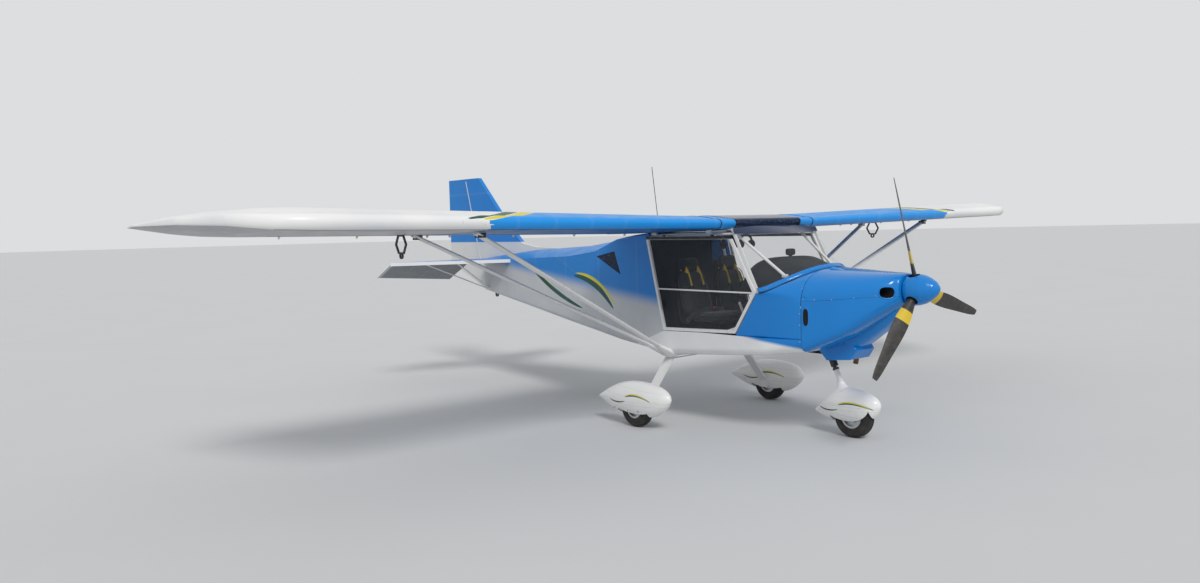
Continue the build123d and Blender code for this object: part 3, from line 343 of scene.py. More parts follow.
def with_strokes(g: Graph, colour: object, strokes: tuple, shift: float = 0.0) -> object:
    """Colour with painted strokes on it.

    Args:
        g: tree that the nodes go into.
        colour: what lies under the strokes.
        strokes: rows of start, end, bow, half width and paint.
        shift: how far aft all of them move.

    Returns:
        Colour socket.
    """
    for start, end, bow, half, paint in strokes:
        mask = g.stroke((start[0] + shift, start[1]), (end[0] + shift, end[1]), bow, half)
        colour = g.mix(mask, colour, paint)
    return colour


def wing_colour(g: Graph, under: bool) -> object:
    """Paint of the wing: blue inboard, white outboard, two tapered stripes on the upper side.

    The edge between blue and white sweeps inwards, below with the distance aft and above
    with its root.

    Args:
        g: tree that the nodes go into.
        under: the underside, darkened as painted shade.

    Returns:
        Colour socket.
    """
    x, y, z = g.axes()
    side = g.math("ABSOLUTE", x)
    back = g.math("MAXIMUM", g.math("SUBTRACT", y, WING_LE_Y), 0.0)
    if under:
        # Underside: deeper blue and grey than the top's paint, painted shade.
        swept = g.math("MULTIPLY_ADD", back, 0.12, side)
        return g.mix(g.step(swept, *WING_EDGE), (0.007, 0.105, 0.34), (0.38, 0.38, 0.385))
    chord_z = g.math("MULTIPLY_ADD", side, DIHEDRAL, WING_LE_Z - WING_ROOT_X * DIHEDRAL)
    above = g.step(g.math("SUBTRACT", z, g.math("MULTIPLY_ADD", back, CHORD_SLOPE, chord_z)), -0.036, -0.028)
    rate = g.step(above, 0.0, 1.0, 0.15, 1.1)
    swept = g.math("ADD", g.math("MULTIPLY", g.math("SQRT", back), rate), side)
    colour = g.mix(g.step(swept, *WING_EDGE), WING_AZURE, PAINT_WHITE)
    for middle, paint, begin in ((2.945, STRIPE_YELLOW, 0.0), (3.085, STRIPE_GREEN, 0.002)):
        grown = g.math("MULTIPLY", g.step(back, begin, begin + 0.007), g.step(back, 0.5, 1.42, 0.060, 0.02))
        off = g.math("ABSOLUTE", g.math("SUBTRACT", swept, middle))
        inside = g.step(g.math("SUBTRACT", off, grown), -0.003, 0.003, 1.0, 0.0)
        colour = g.mix(g.math("MULTIPLY", inside, above), colour, paint)
    return colour


def zone_colour(g: Graph, zones: Zones) -> object:
    """Paint colour by place on the aircraft.

    The fuselage is blue above a rising soft line and pale grey below it. The tub, the fin
    and the tailplane have one sharp edge each between blue and white.

    Args:
        g: tree that the nodes go into.
        zones: colour scheme.

    Returns:
        Colour socket or plain colour.
    """
    if zones in (Zones.WING, Zones.WING_SHADED_UNDER):
        return wing_colour(g, zones is Zones.WING_SHADED_UNDER)
    x, y, z = g.axes()
    side = g.math("ABSOLUTE", x)
    if zones is Zones.FUSELAGE:
        line = g.math("MULTIPLY_ADD", y, -0.10, z)
        level = 1.045 - 0.10 * (WING_LE_Y + 0.8)
        colour = g.mix(g.step(line, level - 0.07, level + 0.07), SOFT_GREY, AZURE)
        return with_strokes(g, colour, SIDE_STROKES)
    if zones is Zones.TUB:
        above = g.math("MULTIPLY_ADD", y, -0.15, z)
        return g.mix(g.step(above, 0.828 - 0.15 * WING_LE_Y, 0.860 - 0.15 * WING_LE_Y), PAINT_WHITE, AZURE)
    if zones is Zones.FIN:
        return g.mix(g.step(z, 1.578, 1.586), (0.70, 0.70, 0.69), AZURE)
    if zones is Zones.TAIL:
        edge = g.math("MULTIPLY_ADD", side, -0.508, y)
        colour = g.mix(g.step(edge, aft(3.52), aft(3.526)), PAINT_WHITE, AZURE)
        return g.mix(g.step(side, *TAIL_EDGE), colour, PAINT_WHITE)
    if zones is Zones.SPAT:
        colour = with_strokes(g, PAINT_WHITE, SPAT_STROKES)
        return with_strokes(g, colour, SPAT_STROKES, NOSE_SPAT_SHIFT)
    # Tail undersides: dark grey inboard and lighter grey at the tips, painted shade on white cloth.
    if zones is Zones.SHADED_UNDER:
        return g.mix(g.step(side, *TAIL_EDGE), (0.20, 0.21, 0.225), (0.52, 0.53, 0.54))
    return PAINT_WHITE if zones is Zones.PLAIN_WHITE else AZURE


def cowl_seams(g: Graph) -> Socket:
    """One on the split line of the cowling and on its seam at the firewall."""
    y, z = g.axes()[1:]
    level = g.math("SUBTRACT", z, g.step(y, aft(-1.30), aft(-0.70), 1.158, 1.120))
    ahead = g.step(y, aft(-0.6915), aft(-0.6905), 1.0, 0.0)
    split = g.math("MULTIPLY", g.band(level, -0.0011, 0.0011, 0.0004), ahead)
    seam = g.band(y, aft(-0.6925), aft(-0.6900), 0.0005)
    return g.math("MAXIMUM", split, seam)


@dataclass(frozen=True)
class CoveredFabric:
    """Painted cloth over ribs: it sags between them, and tapes run along them."""

    name: str
    zones: Zones
    rib_axis: str = "X"
    rib_pitch: float = 0.33
    sag: float = 0.0016

    def build(self) -> bpy.types.Material:
        """Builds the material."""
        g = Graph(self.name)
        run = g.axes()["XYZ".index(self.rib_axis)]
        near = g.math("PINGPONG", run, self.rib_pitch / 2)
        tape = g.step(near, 0.014, 0.017, 1.0, 0.0)
        hollow = g.math("COSINE", g.math("MULTIPLY", run, 2 * math.pi / self.rib_pitch))
        blotch = g.noise(1.7, 4.0)
        colour = g.mix(g.step(blotch, 0.35, 0.75, 0.0, 0.10), zone_colour(g, self.zones), DEEP_AZURE)
        colour = g.mix(g.math("MULTIPLY", tape, 0.025), colour, (0.9, 0.9, 0.9))
        weave = g.math("MULTIPLY", g.wave(300.0, "X"), g.wave(300.0, "Y"))
        normal = g.bump(hollow, self.sag, 0.5)
        normal = g.bump(tape, 0.0004, 0.6, normal)
        normal = g.bump(weave, 0.00003, 0.12, normal)
        rough = g.step(g.noise(9.0), 0.3, 0.7, 0.30, 0.42)
        return g.finish(Base_Color=colour, Roughness=rough, Normal=normal, Specular_IOR_Level=0.3)


@dataclass(frozen=True)
class GelCoat:
    """Gloss paint on a moulded shell, a little dusty low down."""

    name: str
    zones: Zones
    dust_top: float = 0.55
    rough: float = 0.16

    def build(self) -> bpy.types.Material:
        """Builds the material."""
        g = Graph(self.name)
        low = g.step(g.axes()[2], self.dust_top - 0.45, self.dust_top, 0.35, 0.0)
        dust = g.math("MULTIPLY", low, g.step(g.noise(38.0, 6.0, 0.7), 0.48, 0.72))
        white = self.zones in (Zones.PLAIN_WHITE, Zones.SPAT)
        scale, most, tint = (3.1, 0.08, (0.62, 0.61, 0.58)) if white else (2.3, 0.10, DEEP_AZURE)
        shade = g.mix(g.step(g.noise(scale, 3.0), 0.3, 0.8, 0.0, most), zone_colour(g, self.zones), tint)
        colour = g.mix(dust, shade, DUST)
        peel = g.bump(g.noise(190.0, 2.0), 0.00012, 0.35)
        peel = g.bump(g.noise(11.0, 2.0), 0.0007, 0.4, peel)
        rough = g.math("MULTIPLY_ADD", dust, 0.5, self.rough)
        if self.zones is Zones.COWL:
            seams = cowl_seams(g)
            colour = g.mix(g.math("MULTIPLY", seams, 0.75), colour, (0.004, 0.03, 0.09))
            peel = g.bump(seams, -0.0015, 0.8, peel)
        return g.finish(Base_Color=colour, Roughness=rough, Normal=peel, Specular_IOR_Level=0.4)


def scratched(g: Graph, stretch: Point, tint: tuple, rough: float, more: float) -> dict:
    """Sockets of a thin sheet with faint scratches, for Graph.finish.

    Args:
        g: tree that the nodes go into.
        stretch: scale of the scratches along each axis, the smallest one along them.
        tint: colour of the sheet.
        rough: roughness where it is clean.
        more: added roughness on the scratches.

    Returns:
        Colour, roughness, normal and gloss level by name.
    """
    streak = g.noise(60.0, 5.0, 0.6, g.scaled(stretch))
    return {
        "Base_Color": g.mix(g.step(streak, 0.5, 0.9, 0.0, 0.2), tint, (0.9, 0.92, 0.95)),
        "Roughness": g.step(streak, 0.45, 0.75, rough, rough + more),
        "Normal": g.bump(g.noise(4.0, 2.0), 0.003, 0.25),
        "Specular_IOR_Level": 0.15,
    }


@dataclass(frozen=True)
class Sheeting:
    """Thin clear or tinted sheet with faint scratches."""

    name: str
    tint: tuple
    alpha: float
    rough: float = 0.05

    def build(self) -> bpy.types.Material:
        """Builds the material."""
        g = Graph(self.name)
        return g.finish(**scratched(g, (1.0, 0.12, 1.0), self.tint, self.rough, 0.12), Alpha=self.alpha)


@dataclass(frozen=True)
class VisorSheet:
    """Clear bent sheet that turns to the roof's dark tint above a level line."""

    name: str = "visor_sheet"
    line: float = 1.640
    clear: tuple = (0.50, 0.56, 0.62)
    tint: tuple = (0.012, 0.03, 0.085)

    def build(self) -> bpy.types.Material:
        """Builds the material."""
        g = Graph(self.name)
        x, _, z = g.axes()
        edge = g.math("MULTIPLY_ADD", g.math("POWER", x, 2.0), 0.03, self.line)
        dark = g.step(g.math("SUBTRACT", z, edge), -0.002, 0.002)
        sockets = scratched(g, (1.0, 1.0, 0.12), self.clear, 0.04, 0.10)
        sockets["Base_Color"] = g.mix(dark, sockets["Base_Color"], self.tint)
        return g.finish(**sockets, Alpha=g.step(dark, 0.0, 1.0, 0.035, 0.90))


@dataclass(frozen=True)
class Metal:
    """Painted or bare metal with rubbed spots and fine lines; where a height is given, black above it as a
    painted shadow.
    """

    name: str
    colour: tuple
    metallic: float = 0.0
    rough: float = 0.3
    wear: float = 0.25
    worn: tuple = (0.35, 0.35, 0.36)
    grain: float = 260.0
    # Height above which the metal is painted black as a shadow; 9 m means nowhere.
    shadow_black_above: float = 9.0

    def build(self) -> bpy.types.Material:
        """Builds the material."""
        g = Graph(self.name)
        rub = g.step(g.noise(22.0, 6.0, 0.65), 0.62, 0.72, 0.0, self.wear)
        tone = g.mix(g.step(g.noise(5.0), 0.3, 0.8, 0.0, 0.18), self.colour, self.worn)
        lines = g.bump(g.noise(self.grain, 2.0, 0.5, g.scaled((1.0, 1.0, 0.2))), 0.00008, 0.4)
        rough = g.step(g.noise(30.0), 0.3, 0.7, self.rough, self.rough + 0.12)
        tone = g.mix(rub, tone, self.worn)
        # Black above the height: painted shadow of the wing on the door frames' top bars.
        if self.shadow_black_above < 9.0:
            tone = g.mix(g.step(g.axes()[2], self.shadow_black_above, self.shadow_black_above + 0.004), tone, BLACK)
        return g.finish(Base_Color=tone, Metallic=self.metallic, Roughness=rough, Normal=lines)


@dataclass(frozen=True)
class Rust:
    """Heat-stained steel, brown with darker scale."""

    name: str = "heat_stained"

    def build(self) -> bpy.types.Material:
        """Builds the material."""
        g = Graph(self.name)
        scale = g.noise(55.0, 7.0, 0.7)
        colour = g.mix(g.step(scale, 0.35, 0.65), (0.10, 0.045, 0.022), (0.30, 0.14, 0.06))
        return g.finish(Base_Color=colour, Metallic=0.3, Roughness=0.75, Normal=g.bump(scale, 0.0006, 0.8))


@dataclass(frozen=True)
class Rubber:
    """Black rubber, grey with road dust on its ribs, and darker between them as painted shade."""

    name: str = "rubber"

    def build(self) -> bpy.types.Material:
        """Builds the material."""
        g = Graph(self.name)
        dust = g.step(g.noise(16.0, 6.0, 0.65), 0.4, 0.75, 0.05, 0.4)
        ribs = g.step(g.wave(22.0, "X"), 0.25, 0.45)
        fine = g.bump(g.noise(420.0, 3.0), 0.0002, 0.5, g.bump(ribs, 0.0022, 0.9))
        # Grooves between the ribs darker: painted shade.
        tone = g.mix(g.step(ribs, 0.0, 1.0, 0.6, 0.0), (0.016, 0.016, 0.016), (0.004, 0.004, 0.004))
        return g.finish(Base_Color=g.mix(dust, tone, (0.10, 0.088, 0.075)), Roughness=0.78, Normal=fine)


@dataclass(frozen=True)
class Plastic:
    """Moulded plastic or vinyl with a pebbled grain."""

    name: str
    colour: tuple
    rough: float = 0.5
    grain: float = 650.0

    def build(self) -> bpy.types.Material:
        """Builds the material."""
        g = Graph(self.name)
        pebble = g.bump(g.cells(self.grain), 0.0002, 0.5)
        pale = tuple(1.8 * c + 0.006 for c in self.colour)
        tone = g.mix(g.step(g.noise(13.0, 4.0), 0.35, 0.75, 0.0, 0.35), self.colour, pale)
        rough = g.step(g.noise(8.0), 0.3, 0.7, self.rough, self.rough + 0.15)
        return g.finish(Base_Color=tone, Roughness=rough, Normal=pebble, Specular_IOR_Level=0.22)


@dataclass(frozen=True)
class Cloth:
    """Woven cloth or webbing, its threads crossing at a pitch."""

    name: str
    colour: tuple
    thread: float = 420.0
    depth: float = 0.0004
    sheen: float = 0.4

    def build(self) -> bpy.types.Material:
        """Builds the material."""
        g = Graph(self.name)
        weave = g.math("MAXIMUM", g.wave(self.thread, "X"), g.math("SUBTRACT", 1.0, g.wave(self.thread, "Z")))
        pale = tuple(1.6 * c + 0.004 for c in self.colour)
        dark = tuple(0.6 * c + 0.01 for c in self.colour)
        colour = g.mix(g.math("MULTIPLY", weave, 0.35), self.colour, pale)
        colour = g.mix(g.step(g.noise(6.0, 5.0), 0.35, 0.8, 0.0, 0.3), colour, dark)
        normal = g.bump(g.noise(900.0, 3.0), 0.0001, 0.3, g.bump(weave, self.depth, 0.7))
        return g.finish(
            Base_Color=colour, Roughness=0.88, Normal=normal, Sheen_Weight=self.sheen, Sheen_Roughness=0.5
        )


@dataclass(frozen=True)
class BladeCoat:
    """Dark satin blade with a plain yellow band near its root."""

    name: str = "blade_coat"
    band_from: float = 0.215
    band_to: float = 0.315

    def build(self) -> bpy.types.Material:
        """Builds the material."""
        g = Graph(self.name)
        x, _, z = g.axes()
        across = g.math("POWER", x, 2.0)
        up = g.math("POWER", g.math("SUBTRACT", z, HUB[2]), 2.0)
        radius = g.math("SQRT", g.math("ADD", across, up))
        tone = g.mix(g.step(g.noise(26.0, 5.0), 0.35, 0.75), (0.022, 0.021, 0.02), (0.05, 0.046, 0.042))
        tone = g.mix(g.band(radius, self.band_from, self.band_to, 0.002), tone, (0.66, 0.46, 0.02))
        lines = g.bump(g.noise(140.0, 3.0, 0.6), 0.0001, 0.4)
        return g.finish(Base_Color=tone, Roughness=0.42, Normal=lines)


@dataclass
class Finishes:
    """Every finish of the aircraft, built once."""

    made: dict = field(default_factory=dict)

    def __post_init__(self) -> None:
        """Builds each finish and keeps it by name."""
        for finish in (
            CoveredFabric("wing_cloth", Zones.WING),
            CoveredFabric("fuselage_cloth", Zones.FUSELAGE, "Y", 0.62, 0.003),
            CoveredFabric("fin_cloth", Zones.FIN, "Z", 0.24, 0.001),
            CoveredFabric("tail_cloth", Zones.TAIL, "X", 0.26, 0.001),
            # Tail undersides dark grey: painted shade.
            CoveredFabric("shaded_under_cloth", Zones.SHADED_UNDER, "X", 0.26, 0.001),
            # Wing underside darker than its top: painted shade.
            CoveredFabric("wing_under_shade", Zones.WING_SHADED_UNDER),
            GelCoat("blue_shell", Zones.PLAIN_BLUE),
            GelCoat("white_shell", Zones.PLAIN_WHITE),
            GelCoat("cowl_paint", Zones.COWL),
            GelCoat("tub_shell", Zones.TUB, 0.75),
            GelCoat("spat_shell", Zones.SPAT, 0.42),
            Sheeting("clear_sheet", (0.45, 0.50, 0.55), 0.04),
            Sheeting("tinted_sheet", (0.008, 0.02, 0.06), 0.88),
            VisorSheet(),
            Metal("white_tube", (0.78, 0.78, 0.77)),
            # Door frames black along their top bars: painted shadow of the wing.
            Metal("door_tube", (0.78, 0.78, 0.77), shadow_black_above=1.606),
            Metal("dark_metal", (0.02, 0.02, 0.022), 0.2, 0.4),
            Metal("bare_metal", (0.55, 0.56, 0.58), 0.9, 0.28, 0.4, (0.3, 0.3, 0.31)),
            Metal("bolt_metal", (0.42, 0.40, 0.36), 0.85, 0.35, 0.4, (0.2, 0.16, 0.1)),
            Rust(),
            Rubber(),
            Plastic("black_vinyl", (0.007, 0.007, 0.008), 0.6),
            # Black for seals, seams and the latch, and as painted shade in the cowling's openings.
            Plastic("seal_black", (0.010, 0.010, 0.011), 0.6, 300.0),
            Plastic("red_plastic", (0.42, 0.012, 0.01), 0.4),
            Plastic("dial_white", (0.72, 0.72, 0.70), 0.4),
            # Near black: painted shade in the inlet ducts and the cabin, and the dial faces' own black.
            Plastic("inner_dark", (0.008, 0.009, 0.011), 0.85, 200.0),
            Cloth("seat_cloth", (0.008, 0.008, 0.009), sheen=0.15),
            Cloth("belt_yellow", (0.75, 0.50, 0.03), 700.0, 0.0003),
            Cloth("belt_black", (0.010, 0.010, 0.011), 700.0, 0.0003, 0.1),
            BladeCoat(),
        ):
            self.made[finish.name] = finish.build()

    def __getitem__(self, name: str) -> bpy.types.Material:
        """Finish by name."""
        return self.made[name]

    def pick(self, *names: str) -> list:
        """Several finishes in slot order."""
        return [self.made[name] for name in names]


def new_object(name: str, data: bpy.types.ID) -> bpy.types.Object:
    """Object with this data, linked to the scene."""
    made = bpy.data.objects.new(name, data)
    bpy.context.scene.collection.objects.link(made)
    return made


@dataclass
class Shape:
    """Collects surfaces worked out on grids into one mesh."""

    points: list = field(default_factory=list)
    faces: list = field(default_factory=list)
    slots: list = field(default_factory=list)
    count: int = 0

    def add(self, points: Array, faces: Array, slot: int = 0) -> "Shape":
        """Adds points and the faces between them.

        Args:
            points: rows of three numbers.
            faces: rows of three or four indices into points.
            slot: which of the piece's finishes the faces take.

        Returns:
            This shape.
        """
        self.points.append(np.asarray(points, float).reshape(-1, 3))
        self.faces.append((np.asarray(faces) + self.count).tolist())
        self.slots.append(np.full(len(faces), slot))
        self.count += len(self.points[-1])
        return self

    def grid(
        self,
        points: Array,
        wrap_u: bool = False,
        wrap_v: bool = False,
        slot: int = 0,
        flip: bool = False,
        keep: Optional[Callable[[Array], Array]] = None,
    ) -> "Shape":
        """Adds a surface given by a grid of points.

        Args:
            points: array (rows, columns, 3).
            wrap_u: the last row joins the first.
            wrap_v: the last column joins the first.
            slot: finish of the faces.
            flip: turns the faces over.
            keep: says from the middles of the faces which of them stay.

        Returns:
            This shape.
        """
        n, m = points.shape[:2]
        i = np.arange(n if wrap_u else n - 1)[:, None]
        j = np.arange(m if wrap_v else m - 1)[None, :]
        i2, j2 = (i + 1) % n, (j + 1) % m
        quads = np.stack([i * m + j, i2 * m + j, i2 * m + j2, i * m + j2], axis=-1).reshape(-1, 4)
        flat = points.reshape(-1, 3)
        if keep is not None:
            quads = quads[keep(flat[quads].mean(axis=1))]
        return self.add(flat, quads[:, ::-1] if flip else quads, slot)

    def sweep(
        self,
        path: Array,
        profile: Array,
        up: Point = (0, 0, 1),
        size: Optional[Array] = None,
        loop: bool = False,
        slot: int = 0,
    ) -> "Shape":
        """Carries a closed profile along a path.

        Each ring is the path point, plus the profile's first number along the side
        direction (path direction crossed with up) and its second along their cross.

        Args:
            path: points of the path.
            profile: rows of two numbers.
            up: direction that the side direction is square to.
            size: factor of the profile at each path point.
            loop: the path's end joins its start.
            slot: finish of the faces.

        Returns:
            This shape.
        """
        path, profile = np.asarray(path, float), np.asarray(profile, float)
        if loop:
            ahead = unit(np.roll(path, -1, axis=0) - np.roll(path, 1, axis=0))
        else:
            ahead = unit(np.gradient(path, axis=0))
        side = unit(np.cross(ahead, np.asarray(up, float)))
        lift = np.cross(side, ahead)
        factor = np.ones(len(path)) if size is None else np.asarray(size, float)
        rings = path[:, None] + factor[:, None, None] * (
            profile[None, :, :1] * side[:, None] + profile[None, :, 1:] * lift[:, None]
        )
        if not loop:
            ends = np.repeat(path[[0, -1]][:, None], len(profile), axis=1)
            rings = np.concatenate([ends[:1], rings, ends[1:]])
        return self.grid(rings, wrap_u=loop, wrap_v=True, slot=slot, flip=True)

    def tube(self, path: Array, radius: float, sides: int = 14, **options: object) -> "Shape":
        """Round bar along a path."""
        t = turns(sides)
        return self.sweep(path, radius * spread(np.cos(t), np.sin(t)), **options)

    def turned(self, profile: Array, centre: Point, axis: Point, sides: int = 40, slot: int = 0) -> "Shape":
        """Surface of revolution.

        Each point is the centre, plus the profile's second number along the axis and its
        first number round it.

        Args:
            profile: rows of radius and distance along the axis.
            centre: point on the axis.
            axis: direction of the axis.
            sides: how many steps round.
            slot: finish of the faces.

        Returns:
            This shape.
        """
        along = unit(np.asarray(axis, float))
        first = unit(np.cross(along, (0.0, 0.31, 0.95) if abs(along[0]) > 0.5 else (1.0, 0.0, 0.0)))
        second = np.cross(along, first)
        t = turns(sides)
        ring = np.cos(t)[:, None] * first + np.sin(t)[:, None] * second
        rows = np.asarray(profile, float)[..., None, None]
        points = np.asarray(centre, float) + rows[:, 1] * along + rows[:, 0] * ring
        return self.grid(points, wrap_v=True, slot=slot)

    def studs(self, centres: Array, normals: Array, radius: float, height: float, slot: int = 0) -> "Shape":
        """Small domed heads, all worked out at once.

        Args:
            centres: where each head sits.
            normals: which way each head faces.
            radius: radius of a head.
            height: how far it stands out.
            slot: finish of the faces.

        Returns:
            This shape.
        """
        centres = np.asarray(centres, float).reshape(-1, 3)
        out = unit(np.broadcast_to(np.asarray(normals, float), centres.shape))
        helper = np.where(np.abs(out[:, :1]) > 0.8, (0.0, 1.0, 0.0), (1.0, 0.0, 0.0))
        first = unit(np.cross(out, helper))
        second = np.cross(out, first)
        sides, t = 8, turns(8)[:, None]
        rows = np.array([(1.0, -0.3), (1.0, 0.45), (0.7, 0.9), (0.0, 1.0)])[..., None, None]
        flat = np.cos(t) * first[:, None] + np.sin(t) * second[:, None]
        heads = radius * rows[:, 0] * flat[:, None] + height * rows[:, 1] * out[:, None, None]
        heads = centres[:, None, None] + heads
        i, j = np.arange(len(rows) - 1)[:, None] * sides, np.arange(sides)
        j2 = (j + 1) % sides
        quads = np.stack([i + j, i + sides + j, i + sides + j2, i + j2], axis=-1).reshape(-1, 4)
        whole = quads + np.arange(len(centres))[:, None, None] * len(rows) * sides
        return self.add(heads, whole.reshape(-1, 4), slot)

    def block(self, low: Point, high: Point, round_by: float = 0.004, slot: int = 0) -> "Shape":
        """Box with rounded edges: a sphere's directions stretched to a box and rounded.

        Each point is the box shrunk by the rounding, taken at the sign of the direction,
        plus the rounding times the direction.

        Args:
            low: lowest corner.
            high: highest corner.
            round_by: radius of the edges.
            slot: finish of the faces.

        Returns:
            This shape.
        """
        low, high = np.asarray(low, float), np.asarray(high, float)
        middle, half = (low + high) / 2, (high - low) / 2
        u = np.linspace(-np.pi / 2, np.pi / 2, 10)[:, None]
        v = turns(20) + np.pi / 20
        direction = spread(np.cos(u) * np.cos(v), np.cos(u) * np.sin(v), np.sin(u))
        core, edge = np.maximum(half - round_by, 0.0), np.minimum(round_by, half)
        reach = np.sign(np.round(direction, 6))
        reach[[0, -1], :, :2] = np.sign(direction[1, :, :2])
        points = middle + core * reach + edge * direction
        bottom, top = (np.tile(middle + (core + edge) * (0, 0, sign), (1, 20, 1)) for sign in (-1, 1))
        return self.grid(np.concatenate([bottom, points, top]), wrap_v=True, slot=slot, flip=True)

    def mirrored(self) -> "Shape":
        """Adds the mirror image in the plane of symmetry."""
        points, faces, slots = np.concatenate(self.points), sum(self.faces, []), np.concatenate(self.slots)
        base = self.count
        self.points.append(points * (-1, 1, 1))
        self.faces.append([[base + i for i in reversed(f)] for f in faces])
        self.slots.append(slots)
        self.count += len(points)
        return self

    def build(
        self,
        name: str,
        body: str,
        finishes: Sequence[bpy.types.Material],
        crease: float = 38.0,
        wall: float = 0.0,
        outward: bool = True,
    ) -> bpy.types.Object:
        """Makes the object, closes its seams and lets it ride on a body.

        Args:
            name: name of the piece.
            body: body that it rides on.
            finishes: its materials, in slot order.
            crease: edges sharper than this many degrees stay sharp.
            wall: thickness added inwards, in metres.
            outward: works out which way the faces point.

        Returns:
            The new object.
        """
        mesh = bpy.data.meshes.new(name)
        mesh.from_pydata(np.concatenate(self.points).tolist(), [], sum(self.faces, []))
        mesh.polygons.foreach_set("material_index", np.concatenate(self.slots).astype(np.int32))
        work = bmesh.new()
        work.from_mesh(mesh)
        bmesh.ops.remove_doubles(work, verts=work.verts, dist=1e-5)
        bmesh.ops.dissolve_degenerate(work, dist=1e-6, edges=work.edges)
        if outward:
            bmesh.ops.recalc_face_normals(work, faces=work.faces)
        work.to_mesh(mesh)
        work.free()
        for material in finishes:
            mesh.materials.append(material)
        mesh.shade_smooth()
        mesh.set_sharp_from_angle(angle=math.radians(crease))
        piece = new_object(name, mesh)
        if wall:
            solid = piece.modifiers.new("wall", "SOLIDIFY")
            solid.thickness, solid.offset = wall, -1.0
        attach(piece, body)
        log.info("%s: %d faces on %s", name, len(mesh.polygons), body)
        return piece


def lowered_crown(points: Array) -> Array:
    """Wing points with a flatter crown, a drooped nose and a lifted tip.

    Heights above the chord plane shrink by a factor that grows towards the tip and eases
    back to one at the flaps. The nose sinks by an amount that eases out behind it, and the
    tip rises with the power 1.5 of the distance beyond the straight part.

    Args:
        points: rows of three numbers.

    Returns:
        Moved rows.
    """
    moved = np.array(points, float)
    side, back = np.abs(moved[:, 0]), moved[:, 1] - WING_LE_Y
    chord_z = WING_LE_Z - back * math.tan(INCIDENCE) + np.maximum(side - WING_ROOT_X, 0) * DIHEDRAL
    share = CROWN_SHARE[0] + (CROWN_SHARE[1] - CROWN_SHARE[0]) * np.clip((side - 1.0) / 3.2, 0, 1)
    moved[:, 2] -= np.maximum(moved[:, 2] - chord_z, 0) * (1 - share) * eased(back, *CROWN_EASE)
    moved[:, 2] -= NOSE_DROOP * eased(back, 0, NOSE_EASE)
    moved[:, 2] += TIP_LIFT * np.clip((side - 4.29) / 0.465, 0, 1) ** 1.5
    return moved


def smooth_copy(
    node: str,
    body: str,
    finish: bpy.types.Material,
    crease: float = 35.0,
    under: Optional[bpy.types.Material] = None,
    bend: Optional[Callable[[Array], Array]] = None,
    down: float = -0.2,
) -> bpy.types.Object:
    """Stands for a CAD node with a merged, smoothly shaded copy of its mesh.

    Args:
        node: name of the node.
        body: body that the node is on.
        finish: material of the copy.
        crease: edges sharper than this many degrees stay sharp.
        under: material of the faces that look down, if it differs.
        bend: moves the points, if they differ from the node's.
        down: faces whose normal points lower than this look down.

    Returns:
        The new object.
    """
    mesh = bpy.data.objects[node].data.copy()
    if bend is not None:
        points = np.empty(len(mesh.vertices) * 3)
        mesh.vertices.foreach_get("co", points)
        mesh.vertices.foreach_set("co", bend(points.reshape(-1, 3)).ravel())
    work = bmesh.new()
    work.from_mesh(mesh)
    bmesh.ops.remove_doubles(work, verts=work.verts, dist=1e-5)
    work.to_mesh(mesh)
    work.free()
    if "custom_normal" in mesh.attributes:
        mesh.attributes.remove(mesh.attributes["custom_normal"])
    mesh.materials.clear()
    mesh.materials.append(finish)
    if under is not None:
        normals = np.empty(len(mesh.polygons) * 3)
        mesh.polygons.foreach_get("normal", normals)
        mesh.materials.append(under)
        mesh.polygons.foreach_set("material_index", (normals.reshape(-1, 3)[:, 2] < down).astype(np.int32))
    mesh.shade_smooth()
    mesh.set_sharp_from_angle(angle=math.radians(crease))
    piece = new_object(f"{node}_skin", mesh)
    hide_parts(node)
    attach(piece, body)
    log.info("%s stands for %s", piece.name, node)
    return piece


